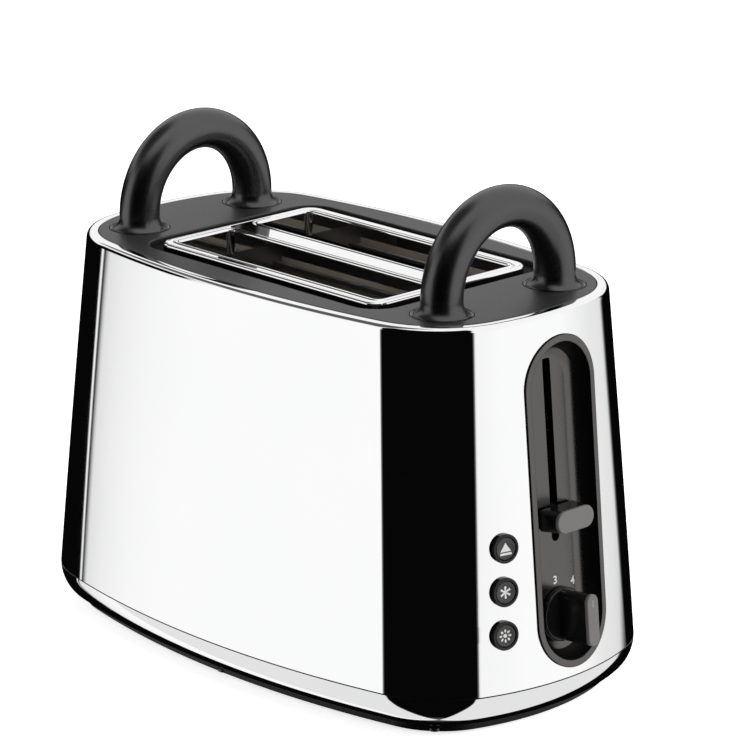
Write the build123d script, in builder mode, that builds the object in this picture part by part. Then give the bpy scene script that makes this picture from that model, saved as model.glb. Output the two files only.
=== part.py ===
from build123d import *

import os
from math import asin, atan2, cos, degrees, radians, sin, sqrt

os.makedirs("parts", exist_ok=True)

# The part is a two-slot toaster. +Z is up and z = 0 is the table.
# The origin is the middle of the footprint, and +X is the end with the controls.

# Housing
RIM_HEIGHT = 190.0
RIM_LENGTH = 269.2
RIM_WIDTH = 155.4
RIM_END_RADIUS = 161.0
RIM_SIDE_RADIUS = 538.0
RIM_CORNER_RADIUS = 48.0
SEAM_HEIGHT = 21.2
SEAM_LENGTH = 303.8
SEAM_WIDTH = 181.2
SEAM_END_RADIUS = 134.0
SEAM_SIDE_RADIUS = 465.0
SEAM_CORNER_RADIUS = 50.0
SHELL_WALL = 1.0
LIP_WIDTH = 5.5
LIP_RADIUS = 2.4
LIP_THICKNESS = 1.2

# Skirt, seam trim and base
SEAM_GAP = 0.6
SEAM_RECESS = 0.5
SEAM_SPIGOT_HEIGHT = 5.0
SEAM_SPIGOT_WALL = 1.5
SKIRT_WALL = 2.0
SKIRT_TUCK = 16.0
SKIRT_TURN = 75.0
SKIRT_SECTIONS = 4
SKIRT_FLANGE = 6.5
BASE_BOTTOM = 1.0
BASE_THICKNESS = 3.0
BASE_INSET = 0.8
BASE_UPSTAND = 2.0
FOOT_RADIUS = 9.0
FOOT_X = 98.0
FOOT_Y = 52.0
FOOT_PLUG_RADIUS = 4.0
SCREW_RADIUS = 1.5
SCREW_HEAD_RADIUS = 3.3
SCREW_HEAD_HEIGHT = 1.4
SCREW_INSET = 3.4
VENT_LENGTH = 16.0
VENT_WIDTH = 3.0
VENT_PITCH = 22.0
VENT_COUNT = 6
VENT_Y = 62.0
CABLE_BUSH_RADIUS = 6.0
CABLE_BUSH_BORE = 3.6
CABLE_BUSH_X = -112.0
CABLE_BUSH_Y = 40.0

# Deck and slot frame
DECK_GAP = 0.15
DECK_DROP = 0.1
DECK_THICKNESS = 3.0
DECK_EDGE = 0.6
TRENCH_MARGIN = 6.5
TRENCH_DEPTH = 2.5
SLOT_LENGTH = 137.0
SLOT_WIDTH = 34.7
SLOT_CORNER = 3.0
BRIDGE_WIDTH = 16.6
FRAME_END_BORDER = 6.0
FRAME_SIDE_BORDER = 7.5
FRAME_CORNER = 8.0
FRAME_HEIGHT = 3.4
FRAME_SHEET = 1.0
FRAME_EDGE = 0.9
COLLAR_DEPTH = 12.5
BEAD_OFFSET = 2.6
BEAD_GROOVE = 0.8
BEAD_GROOVE_DEPTH = 0.45

# Arch handles
HANDLE_X = 102.6
HANDLE_RADIUS = 36.6
HANDLE_TUBE_RADIUS = 9.7
HANDLE_SPRING_HEIGHT = 196.2
HANDLE_FOOT_RADIUS = 12.6
HANDLE_FOOT_HEIGHT = 7.0
HANDLE_RECESS_RADIUS = 14.7
HANDLE_RECESS_DEPTH = 1.2
HANDLE_SCREW_RADIUS = 2.4
HANDLE_SCREW_DEPTH = 14.0
COLLAR_RING_HEIGHT = 1.5
COLLAR_RING_EDGE = 0.4

# Control recess on the end wall
RECESS_Y = 5.0
RECESS_BOTTOM = 25.0
RECESS_TOP = 179.0
RECESS_WIDTH = 46.6
RECESS_FLANGE = 3.5
RECESS_FLANGE_PROUD = 0.8
RECESS_DEPTH = 10.0
RECESS_FLOOR = 2.5
RECESS_WALL = 2.0
RECESS_FLOOR_FILLET = 5.0

# Lever and its slot
LEVER_Y = 5.6
LEVER_REST_HEIGHT = 94.0
LEVER_TRAVEL = 68.0
LEVER_WIDTH = 23.8
LEVER_HEIGHT = 10.3
LEVER_CORNER = 2.0
LEVER_PROUD = 3.6
LEVER_FLOOR_GAP = 1.5
PAD_THICKNESS = 1.6
PAD_EDGE = 0.5
LEVER_SLOT_WIDTH = 5.0
LEVER_SLOT_BOTTOM = 82.0
LEVER_SLOT_TOP = 168.0
ARM_THICKNESS = 4.0
ARM_HEIGHT = 7.0
ARM_TONGUE = 6.0

# Browning knob
KNOB_HEIGHT = 47.9
KNOB_DISC_RADIUS = 12.6
KNOB_DISC_THICKNESS = 2.6
KNOB_DISC_EDGE = 0.8
KNOB_FIN_LENGTH = 24.4
KNOB_FIN_WIDTH = 7.4
KNOB_PROUD = 11.1
KNOB_FLOOR_GAP = 0.4
KNOB_SHAFT_RADIUS = 3.0
KNOB_SHAFT_ENTRY = 8.0
POT_RADIUS = 8.5
POT_THICKNESS = 7.0
POT_BORE_DEPTH = 5.0

# Buttons
BUTTON_COUNT = 3
BUTTON_Y = -35.3
BUTTON_LEAN = 1.2
BUTTON_HEIGHT = 68.4
BUTTON_PITCH = 20.0
BUTTON_RING_RADIUS = 6.8
BUTTON_RING_PROUD = 2.0
BUTTON_RING_EDGE = 0.5
BUTTON_SLEEVE_RADIUS = 5.9
BUTTON_SLEEVE_DEPTH = 4.0
BUTTON_CAP_RADIUS = 5.2
BUTTON_CAP_PROUD = 1.7
BUTTON_DISH = 0.5
BUTTON_CAP_EDGE = 0.4
BUTTON_TRAVEL = 1.5
BUTTON_STEM_RADIUS = 2.0
BUTTON_FLANGE_RADIUS = 5.6
BUTTON_FLANGE_THICKNESS = 1.2
BUTTON_BOARD_DEPTH = 22.0
BUTTON_BOARD_WIDTH = 20.0
BUTTON_BOARD_MARGIN = 12.0
CARRIER_DEPTH = 2.6
BUTTON_CARRIER_THICKNESS = 2.0
BUTTON_POST_RADIUS = 1.8
BUTTON_POST_INSET = 2.7
SWITCH_SIZE = 6.0
SWITCH_HEIGHT = 3.6
SWITCH_PLUNGER = 1.2

# Toasting chassis
BULKHEAD_X = 76.0
BULKHEAD_SHEET = 1.0
BULKHEAD_WIDTH = 120.0
BULKHEAD_TOP = 176.0
BULKHEAD_FLANGE = 10.0
BULKHEAD_CORNER = 10.0
TRAY_WINDOW_HEIGHT = 10.0
WEB_SLOT_WIDTH = 4.0
WEB_SLOT_SPARE = 2.0
SHIELD_Y = 58.0
SHIELD_SHEET = 0.6
SHIELD_BOTTOM = 14.0
SHIELD_TOP = 172.0
SHIELD_FOLD = 5.0
HEATER_Y = 49.0
HEATER_SHEET = 0.8
HEATER_BOTTOM = 42.0
HEATER_TOP = 168.0
HEATER_NOTCH_RADIUS = 1.6
HEATER_NOTCH_PITCH = 20.0
HEATER_NOTCH_COUNT = 5
RIBBON_THICKNESS = 0.4
RIBBON_WIDTH = 1.6
RIBBON_PITCH = 10.0
RIBBON_TURNS = 11
RIBBON_LENGTH = 128.0

# Bread guides
GUIDE_GAP = 17.0
GUIDE_SHEET = 0.8
GUIDE_LENGTH = 134.0
GUIDE_PIVOT_HEIGHT = 45.0
GUIDE_TOP = 170.0
GUIDE_PIN_RADIUS = 1.25
GUIDE_WINDOW_COUNT = 9
GUIDE_WINDOW_WIDTH = 9.5
GUIDE_WINDOW_PITCH = 14.0
GUIDE_WINDOW_BOTTOM = 54.0
GUIDE_WINDOW_TOP = 148.0
GUIDE_HOLE_RADIUS = 1.6
GUIDE_HOLE_COUNT = 5
GUIDE_FOLD = 2.5

# Carriage
RACK_HEIGHT = 52.0
RACK_WIDTH = 13.0
RACK_SHEET = 1.5
RACK_WEB_HEIGHT = 6.0
RACK_WINDOW_LENGTH = 7.5
RACK_WINDOW_WIDTH = 2.6
RACK_RIB_COUNT = 9
RACK_RIB_PITCH = 15.0
RACK_RIB_HEIGHT = 5.0
RACK_RIB_SHEET = 1.0
RACK_END_GAP = 2.0
CARRIAGE_X = 88.0
CARRIAGE_SHEET = 1.6
CARRIAGE_WIDTH = 72.0
CARRIAGE_BOTTOM = 42.0
CARRIAGE_TOP = 100.0
CARRIAGE_CORNER = 8.0
CARRIAGE_HOLE_HEIGHT = 26.0
ROD_X = 96.5
ROD_Y = 18.0
ROD_RADIUS = 2.5
BUSH_RADIUS = 5.0
BUSH_WEB = 7.0
BUSH_BOTTOM = 60.0
BUSH_LENGTH = 34.0
SPRING_X = 84.0
SPRING_Y = 31.0
SPRING_RADIUS = 2.2
SPRING_WIRE_RADIUS = 0.5
SPRING_TURNS = 14
SPRING_TOP = 172.0
SPRING_TAB = 1.2
SPRING_TAB_WIDTH = 8.0
SPRING_TAB_REACH = 10.5
SPRING_FOOT = 60.0
MAGNET_X = 96.0
MAGNET_Y = -4.0
ARMATURE_THICKNESS = 2.0
ARMATURE_SIZE = 11.0
MAGNET_FOOT_RADIUS = 8.0
MAGNET_CORE_RADIUS = 4.0
COIL_RADIUS = 7.5
COIL_HEIGHT = 16.0

# Electronics
MAIN_BOARD_X = 106.0
BOARD_SHEET = 1.6
MAIN_BOARD_WIDTH = 40.0
MAIN_BOARD_Y = -36.0
MAIN_BOARD_TOP = 86.0
BOARD_PARTS_Y = -46.0
BOARD_PARTS_DEPTH = 12.0
RELAY_WIDTH = 15.0
RELAY_HEIGHT = 19.0
RELAY_MIDDLE = 21.5
TRANSFORMER_WIDTH = 13.0
TRANSFORMER_HEIGHT = 19.0
TRANSFORMER_MIDDLE = 64.5
CAPACITOR_RADIUS = 5.0
CAPACITOR_MIDDLE = 43.0

# Crumb tray
TRAY_WIDTH = 95.0
TRAY_FRONT = 72.0
TRAY_REAR = -138.0
TRAY_WALL_HEIGHT = 6.5
TRAY_SHEET = 0.8
TRAY_FASCIA_WIDTH = 98.0
TRAY_FASCIA_HEIGHT = 7.8
TRAY_PULL_WIDTH = 60.0
TRAY_PULL_PROUD = 7.7
TRAY_PULL_THICKNESS = 4.4
TRAY_PULL_EDGE = 1.4

# Clearances
SEAT_GAP = 0.3
COLLAR_GAP = 0.6
RUNNING_GAP = 0.06
SLIDE_GAP = 0.15
FIT_GAP = 0.1
TRAY_GAP = 0.5
TRAY_LIFT = 0.3
LAYER_GAP = 0.05

# Heights and places that follow from the sizes above
BASE_TOP = BASE_BOTTOM + BASE_THICKNESS
SKIRT_TOP = SEAM_HEIGHT - SEAM_GAP
SKIRT_DROP = (SKIRT_TOP - BASE_TOP) / sin(radians(SKIRT_TURN))
DECK_TOP = RIM_HEIGHT - DECK_DROP
LIP_UNDERSIDE = RIM_HEIGHT - LIP_THICKNESS
TRENCH_FLOOR = DECK_TOP - TRENCH_DEPTH
DECK_UNDERSIDE = TRENCH_FLOOR - DECK_THICKNESS
FRAME_TOP = TRENCH_FLOOR + FRAME_HEIGHT
FRAME_LENGTH = SLOT_LENGTH + 2 * FRAME_END_BORDER
FRAME_WIDTH = BRIDGE_WIDTH + 2 * SLOT_WIDTH + 2 * FRAME_SIDE_BORDER
SLOT_Y = (BRIDGE_WIDTH + SLOT_WIDTH) / 2
END_TILT = degrees(atan2((SEAM_LENGTH - RIM_LENGTH) / 2, RIM_HEIGHT - SEAM_HEIGHT))
GUIDE_OFFSET = (GUIDE_GAP + GUIDE_SHEET) / 2
RECESS_BACK = RECESS_DEPTH + RECESS_FLOOR
SIGNS = (-1, 1)


def corner_points(half_length, half_width, end_radius, side_radius, corner_radius):
    """Tangent points and middle of the corner arc in the first quadrant of a plan outline."""
    end_centre = Vector(half_length - end_radius, 0)
    side_centre = Vector(0, half_width - side_radius)
    end_reach = end_radius - corner_radius
    side_reach = side_radius - corner_radius
    span = (side_centre - end_centre).length
    along = (span**2 + end_reach**2 - side_reach**2) / (2 * span)
    across = sqrt(end_reach**2 - along**2)
    toward = (side_centre - end_centre).normalized()
    outward = Vector(-toward.Y, toward.X)
    centre = end_centre + toward * along + outward * across
    end_point = end_centre + (centre - end_centre).normalized() * end_radius
    side_point = side_centre + (centre - side_centre).normalized() * side_radius
    middle = (end_point + side_point) * 0.5
    corner_point = centre + (middle - centre).normalized() * corner_radius
    return end_point, corner_point, side_point


def inset_sizes(sizes, inset):
    """Sizes of the outline that lies parallel to a plan outline, inset from it."""
    return tuple(size - inset for size in sizes)


RIM_PLAN = (RIM_LENGTH / 2, RIM_WIDTH / 2, RIM_END_RADIUS, RIM_SIDE_RADIUS, RIM_CORNER_RADIUS)
SEAM_PLAN = (SEAM_LENGTH / 2, SEAM_WIDTH / 2, SEAM_END_RADIUS, SEAM_SIDE_RADIUS, SEAM_CORNER_RADIUS)


def plan_face(plan, inset=0.0):
    """Plan outline with bulged ends and sides, joined by tangent corner arcs."""
    sizes = inset_sizes(plan, inset)
    half_length, half_width = sizes[0], sizes[1]
    end, corner, side = corner_points(*sizes)
    with BuildSketch() as outline:
        with BuildLine():
            for sx in SIGNS:
                ThreePointArc((sx * end.X, -end.Y), (sx * half_length, 0), (sx * end.X, end.Y))
                ThreePointArc((-side.X, sx * side.Y), (0, sx * half_width), (side.X, sx * side.Y))
                for sy in SIGNS:
                    ThreePointArc(
                        (sx * end.X, sy * end.Y),
                        (sx * corner.X, sy * corner.Y),
                        (sx * side.X, sy * side.Y),
                    )
        make_face()
    return outline.sketch


def housing_core(inset=0.0, top=RIM_HEIGHT):
    """Tapered solid inside the housing wall, inset from its outer face."""
    lower = plan_face(SEAM_PLAN, inset)
    upper = plan_face(RIM_PLAN, inset)
    with BuildPart() as core:
        with BuildSketch(Plane.XY.offset(SEAM_HEIGHT)):
            add(lower)
        with BuildSketch(Plane.XY.offset(RIM_HEIGHT)):
            add(upper)
        loft(ruled=True)
        split(bisect_by=Plane.XY.offset(top), keep=Keep.BOTTOM)
    return core.part


def skirt_core(wall=0.0):
    """Rounded solid of the skirt, which turns in below the seam on a quarter ellipse."""
    with BuildPart() as core:
        for step in range(SKIRT_SECTIONS):
            turn = radians(SKIRT_TURN * step / (SKIRT_SECTIONS - 1))
            inset = SKIRT_TUCK - (SKIRT_TUCK - wall) * cos(turn)
            drop = (SKIRT_DROP - wall) * sin(turn)
            with BuildSketch(Plane.XY.offset(SKIRT_TOP - drop)):
                add(plan_face(SEAM_PLAN, inset))
        loft()
    return core.part


def end_wall_x(height, y=0.0):
    """Where the outer face of the control end lies at a height and a distance from the middle."""
    share = (RIM_HEIGHT - height) / (RIM_HEIGHT - SEAM_HEIGHT)
    half_length = (RIM_LENGTH + (SEAM_LENGTH - RIM_LENGTH) * share) / 2
    radius = RIM_END_RADIUS + (SEAM_END_RADIUS - RIM_END_RADIUS) * share
    return half_length - radius + sqrt(radius**2 - y**2)


def wall_plane(y, height, turned=False):
    """Plane on the control end: x across the wall, y up the wall, z outwards."""
    share = (RIM_HEIGHT - height) / (RIM_HEIGHT - SEAM_HEIGHT)
    radius = RIM_END_RADIUS + (SEAM_END_RADIUS - RIM_END_RADIUS) * share
    turn = asin(y / radius) if turned else 0.0
    tilt = radians(END_TILT)
    across = Vector(-sin(turn), cos(turn), 0)
    outward = Vector(cos(turn) * cos(tilt), sin(turn) * cos(tilt), sin(tilt))
    x = end_wall_x(height, y if turned else 0.0)
    return Plane(origin=(x, y, height), x_dir=across, z_dir=outward)


def button_plane(index):
    """Plane on the wall in the middle of a button, counted from the lowest."""
    step = index - 1
    return wall_plane(BUTTON_Y + step * BUTTON_LEAN, BUTTON_HEIGHT + step * BUTTON_PITCH, turned=True)


SKIRT_BOTTOM_INSET = SKIRT_TUCK - SKIRT_TUCK * cos(radians(SKIRT_TURN))
RECESS_HEIGHT = (RECESS_TOP - RECESS_BOTTOM) / cos(radians(END_TILT))
RECESS_PLANE = wall_plane(RECESS_Y, (RECESS_TOP + RECESS_BOTTOM) / 2)
RECESS_INNER_WIDTH = RECESS_WIDTH - 2 * RECESS_FLANGE
RECESS_INNER_HEIGHT = RECESS_HEIGHT - 2 * RECESS_FLANGE
RECESS_SLEEVE_WIDTH = RECESS_INNER_WIDTH + 2 * RECESS_WALL
RECESS_SLEEVE_HEIGHT = RECESS_INNER_HEIGHT + 2 * RECESS_WALL
LEVER_PLANE = wall_plane(LEVER_Y, LEVER_REST_HEIGHT)
KNOB_PLANE = wall_plane(LEVER_Y, KNOB_HEIGHT)
WALL_CLEAR = 20.0

# Steel body shell: tapered wall, rolled lip, hole for the control recess, holes for the buttons
shell_outer = housing_core()
shell_inner = housing_core(SHELL_WALL, LIP_UNDERSIDE)
lip_opening = plan_face(RIM_PLAN, LIP_WIDTH)
with BuildPart() as body_shell:
    add(shell_outer)
    fillet(body_shell.faces().sort_by(Axis.Z)[-1].edges(), LIP_RADIUS)
    add(shell_inner, mode=Mode.SUBTRACT)
    with BuildSketch(Plane.XY.offset(LIP_UNDERSIDE - LIP_THICKNESS)):
        add(lip_opening)
    extrude(amount=3 * LIP_THICKNESS, mode=Mode.SUBTRACT)
    with BuildSketch(RECESS_PLANE.offset(-WALL_CLEAR)):
        SlotOverall(RECESS_SLEEVE_HEIGHT + 2 * SLIDE_GAP, RECESS_SLEEVE_WIDTH + 2 * SLIDE_GAP, 90)
    extrude(amount=2 * WALL_CLEAR, mode=Mode.SUBTRACT)
    for index in range(BUTTON_COUNT):
        with BuildSketch(button_plane(index).offset(-WALL_CLEAR)):
            Circle(BUTTON_SLEEVE_RADIUS + SLIDE_GAP)
        extrude(amount=2 * WALL_CLEAR, mode=Mode.SUBTRACT)
body_shell.part.label = "body_shell"
export_step(body_shell.part, "parts/body_shell.step")

# Seam trim: dark ring between shell and skirt, with a spigot inside the shell
SPIGOT_INSET = SHELL_WALL + SLIDE_GAP
ring_outer = plan_face(SEAM_PLAN, SEAM_RECESS)
ring_inner = plan_face(SEAM_PLAN, SPIGOT_INSET + SEAM_SPIGOT_WALL)
spigot_outer = housing_core(SPIGOT_INSET, SEAM_HEIGHT + SEAM_SPIGOT_HEIGHT)
spigot_inner = housing_core(SPIGOT_INSET + SEAM_SPIGOT_WALL)
with BuildPart() as seam_ring:
    with BuildSketch(Plane.XY.offset(SKIRT_TOP)):
        add(ring_outer)
        add(ring_inner, mode=Mode.SUBTRACT)
    extrude(amount=SEAM_GAP)
    add(spigot_outer)
    add(spigot_inner, mode=Mode.SUBTRACT)
seam_ring.part.label = "seam_ring"
export_step(seam_ring.part, "parts/seam_ring.step")

# Skirt: rounded ring under the shell, open at the rear for the crumb tray
skirt_outer = skirt_core()
skirt_inner = skirt_core(SKIRT_WALL)
skirt_opening = plan_face(SEAM_PLAN, SKIRT_BOTTOM_INSET + SKIRT_FLANGE)
screw_sizes = inset_sizes(SEAM_PLAN, SKIRT_BOTTOM_INSET + SCREW_INSET)
screw_corner = corner_points(*screw_sizes)[1]
SCREW_PLACES = [(sx * screw_corner.X, sy * screw_corner.Y) for sx in SIGNS for sy in SIGNS]
SCREW_PLACES += [(0, sy * screw_sizes[1]) for sy in SIGNS]
FASCIA_BOTTOM = BASE_TOP + TRAY_LIFT
FASCIA_OPENING_HEIGHT = TRAY_LIFT + TRAY_FASCIA_HEIGHT + TRAY_GAP
with BuildPart() as base_skirt:
    add(skirt_outer)
    add(skirt_inner, mode=Mode.SUBTRACT)
    with BuildSketch(Plane.XY.offset(BASE_TOP)):
        add(skirt_opening)
    extrude(amount=SKIRT_DROP, mode=Mode.SUBTRACT)
    with BuildSketch(Plane.XY.offset(BASE_TOP)):
        with Locations((-SEAM_LENGTH / 2, 0)):
            Rectangle(SEAM_LENGTH / 2, TRAY_FASCIA_WIDTH + 2 * TRAY_GAP)
    extrude(amount=FASCIA_OPENING_HEIGHT, mode=Mode.SUBTRACT)
    with BuildSketch(Plane.XY.offset(BASE_TOP)):
        with Locations(*SCREW_PLACES):
            Circle(SCREW_RADIUS + RUNNING_GAP)
    extrude(amount=SKIRT_WALL, mode=Mode.SUBTRACT)
base_skirt.part.label = "base_skirt"
export_step(base_skirt.part, "parts/base_skirt.step")

# Base plate: moulded floor with an upstand inside the skirt, vents, foot and screw holes
base_outline = plan_face(SEAM_PLAN, SKIRT_BOTTOM_INSET + BASE_INSET)
upstand_outer = plan_face(SEAM_PLAN, SKIRT_BOTTOM_INSET + SKIRT_FLANGE + SLIDE_GAP)
upstand_inner = plan_face(SEAM_PLAN, SKIRT_BOTTOM_INSET + SKIRT_FLANGE + BASE_UPSTAND)
FOOT_PLACES = [(sx * FOOT_X, sy * FOOT_Y) for sx in SIGNS for sy in SIGNS]
with BuildPart() as base_plate:
    with BuildSketch(Plane.XY.offset(BASE_BOTTOM)):
        add(base_outline)
        with Locations(*FOOT_PLACES):
            Circle(FOOT_PLUG_RADIUS + SLIDE_GAP, mode=Mode.SUBTRACT)
        with Locations(*SCREW_PLACES):
            Circle(SCREW_RADIUS + RUNNING_GAP, mode=Mode.SUBTRACT)
        with Locations((CABLE_BUSH_X, CABLE_BUSH_Y)):
            Circle(CABLE_BUSH_RADIUS + LAYER_GAP, mode=Mode.SUBTRACT)
        for sy in SIGNS:
            with Locations((0, sy * VENT_Y)):
                with GridLocations(VENT_PITCH, 1, VENT_COUNT, 1):
                    SlotOverall(VENT_LENGTH, VENT_WIDTH, mode=Mode.SUBTRACT)
    extrude(amount=BASE_THICKNESS)
    with BuildSketch(Plane.XY.offset(BASE_BOTTOM)):
        with Locations(*SCREW_PLACES):
            Circle(SCREW_HEAD_RADIUS + SLIDE_GAP)
    extrude(amount=SCREW_HEAD_HEIGHT, mode=Mode.SUBTRACT)
    with BuildSketch(Plane.XY.offset(BASE_TOP)):
        add(upstand_outer)
        add(upstand_inner, mode=Mode.SUBTRACT)
        with Locations((-SEAM_LENGTH / 2, 0)):
            Rectangle(SEAM_LENGTH / 2, TRAY_FASCIA_WIDTH + 2 * TRAY_GAP, mode=Mode.SUBTRACT)
    extrude(amount=BASE_UPSTAND)
base_plate.part.label = "base_plate"
export_step(base_plate.part, "parts/base_plate.step")

# Rubber feet, each plugged into the base plate
with BuildPart() as feet:
    with BuildSketch():
        with Locations(*FOOT_PLACES):
            Circle(FOOT_RADIUS)
    extrude(amount=BASE_BOTTOM)
    with BuildSketch(Plane.XY.offset(BASE_BOTTOM)):
        with Locations(*FOOT_PLACES):
            Circle(FOOT_PLUG_RADIUS)
    extrude(amount=BASE_THICKNESS)
feet.part.label = "feet"
export_step(feet.part, "parts/feet.step")

# Base screws, heads sunk in the base plate and shanks in the skirt flange
with BuildPart() as base_screws:
    with BuildSketch(Plane.XY.offset(BASE_BOTTOM)):
        with Locations(*SCREW_PLACES):
            Circle(SCREW_HEAD_RADIUS)
    extrude(amount=SCREW_HEAD_HEIGHT)
    with BuildSketch(Plane.XY.offset(BASE_BOTTOM + SCREW_HEAD_HEIGHT)):
        with Locations(*SCREW_PLACES):
            Circle(SCREW_RADIUS)
    extrude(amount=BASE_TOP + SKIRT_WALL - BASE_BOTTOM - SCREW_HEAD_HEIGHT)
base_screws.part.label = "base_screws"
export_step(base_screws.part, "parts/base_screws.step")

# Cable bush, the lined hole in the base where a lead would pass
with BuildPart() as cable_bush:
    with BuildSketch(Plane.XY.offset(BASE_BOTTOM)):
        with Locations((CABLE_BUSH_X, CABLE_BUSH_Y)):
            Circle(CABLE_BUSH_RADIUS)
            Circle(CABLE_BUSH_BORE, mode=Mode.SUBTRACT)
    extrude(amount=BASE_THICKNESS)
cable_bush.part.label = "cable_bush"
export_step(cable_bush.part, "parts/cable_bush.step")

# Top deck: moulded plate under the lip, with a trench round the slot frame and handle recesses
deck_outline = plan_face(RIM_PLAN, LIP_WIDTH + DECK_GAP)
deck_flange = plan_face(RIM_PLAN, SHELL_WALL + 2 * SLIDE_GAP)
HANDLE_PLACES = [(sx * HANDLE_X, sy * HANDLE_RADIUS) for sx in SIGNS for sy in SIGNS]
HANDLE_SEAT = DECK_TOP - HANDLE_RECESS_DEPTH
with BuildPart() as top_deck:
    with BuildSketch(Plane.XY.offset(DECK_UNDERSIDE)):
        add(deck_flange)
    extrude(amount=LIP_UNDERSIDE - DECK_UNDERSIDE)
    with BuildSketch(Plane.XY.offset(DECK_UNDERSIDE)):
        add(deck_outline)
    extrude(amount=DECK_TOP - DECK_UNDERSIDE)
    with BuildSketch(Plane.XY.offset(TRENCH_FLOOR)):
        RectangleRounded(
            FRAME_LENGTH + 2 * TRENCH_MARGIN,
            FRAME_WIDTH + 2 * TRENCH_MARGIN,
            FRAME_CORNER + TRENCH_MARGIN,
        )
    extrude(amount=TRENCH_DEPTH, mode=Mode.SUBTRACT)
    chamfer(top_deck.faces().filter_by(Plane.XY).sort_by(Axis.Z)[-1].edges(), DECK_EDGE)
    with BuildSketch(Plane.XY.offset(DECK_UNDERSIDE)):
        for sy in SIGNS:
            with Locations((0, sy * SLOT_Y)):
                RectangleRounded(
                    SLOT_LENGTH + 2 * (FRAME_SHEET + COLLAR_GAP),
                    SLOT_WIDTH + 2 * (FRAME_SHEET + COLLAR_GAP),
                    SLOT_CORNER + FRAME_SHEET,
                )
    extrude(amount=DECK_THICKNESS, mode=Mode.SUBTRACT)
    with BuildSketch(Plane.XY.offset(HANDLE_SEAT)):
        with Locations(*HANDLE_PLACES):
            Circle(HANDLE_RECESS_RADIUS)
    extrude(amount=HANDLE_RECESS_DEPTH, mode=Mode.SUBTRACT)
    with BuildSketch(Plane.XY.offset(DECK_UNDERSIDE)):
        with Locations(*HANDLE_PLACES):
            Circle(HANDLE_SCREW_RADIUS + FIT_GAP)
    extrude(amount=HANDLE_SEAT - DECK_UNDERSIDE, mode=Mode.SUBTRACT)
top_deck.part.label = "top_deck"
export_step(top_deck.part, "parts/top_deck.step")

# Slot frame: pressed plate on the trench floor, with a bead and a deep collar round each slot
with BuildPart() as slot_frame:
    with BuildSketch(Plane.XY.offset(TRENCH_FLOOR)):
        RectangleRounded(FRAME_LENGTH, FRAME_WIDTH, FRAME_CORNER)
    extrude(amount=FRAME_HEIGHT)
    fillet(slot_frame.faces().sort_by(Axis.Z)[-1].edges(), FRAME_EDGE)
    with BuildSketch(Plane.XY.offset(TRENCH_FLOOR)):
        RectangleRounded(
            FRAME_LENGTH - 2 * FRAME_SHEET,
            FRAME_WIDTH - 2 * FRAME_SHEET,
            FRAME_CORNER - FRAME_SHEET,
        )
    extrude(amount=FRAME_HEIGHT - FRAME_SHEET, mode=Mode.SUBTRACT)
    with BuildSketch(Plane.XY.offset(FRAME_TOP - COLLAR_DEPTH)):
        for sy in SIGNS:
            with Locations((0, sy * SLOT_Y)):
                RectangleRounded(
                    SLOT_LENGTH + 2 * FRAME_SHEET, SLOT_WIDTH + 2 * FRAME_SHEET, SLOT_CORNER + FRAME_SHEET
                )
    extrude(amount=COLLAR_DEPTH - FRAME_SHEET / 2)
    with BuildSketch(Plane.XY.offset(FRAME_TOP - COLLAR_DEPTH)):
        for sy in SIGNS:
            with Locations((0, sy * SLOT_Y)):
                RectangleRounded(SLOT_LENGTH, SLOT_WIDTH, SLOT_CORNER)
    extrude(amount=COLLAR_DEPTH, mode=Mode.SUBTRACT)
    slot_rims = slot_frame.faces().filter_by(Plane.XY).sort_by(Axis.Z)[-1].inner_wires()
    fillet(slot_rims.edges(), FRAME_EDGE)
    with BuildSketch(Plane.XY.offset(FRAME_TOP - BEAD_GROOVE_DEPTH)):
        for sy in SIGNS:
            with Locations((0, sy * SLOT_Y)):
                for reach, mode in ((BEAD_OFFSET + BEAD_GROOVE, Mode.ADD), (BEAD_OFFSET, Mode.SUBTRACT)):
                    RectangleRounded(
                        SLOT_LENGTH + 2 * reach, SLOT_WIDTH + 2 * reach, SLOT_CORNER + reach, mode=mode
                    )
    extrude(amount=BEAD_GROOVE_DEPTH, mode=Mode.SUBTRACT)
slot_frame.part.label = "slot_frame"
export_step(slot_frame.part, "parts/slot_frame.step")

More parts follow.
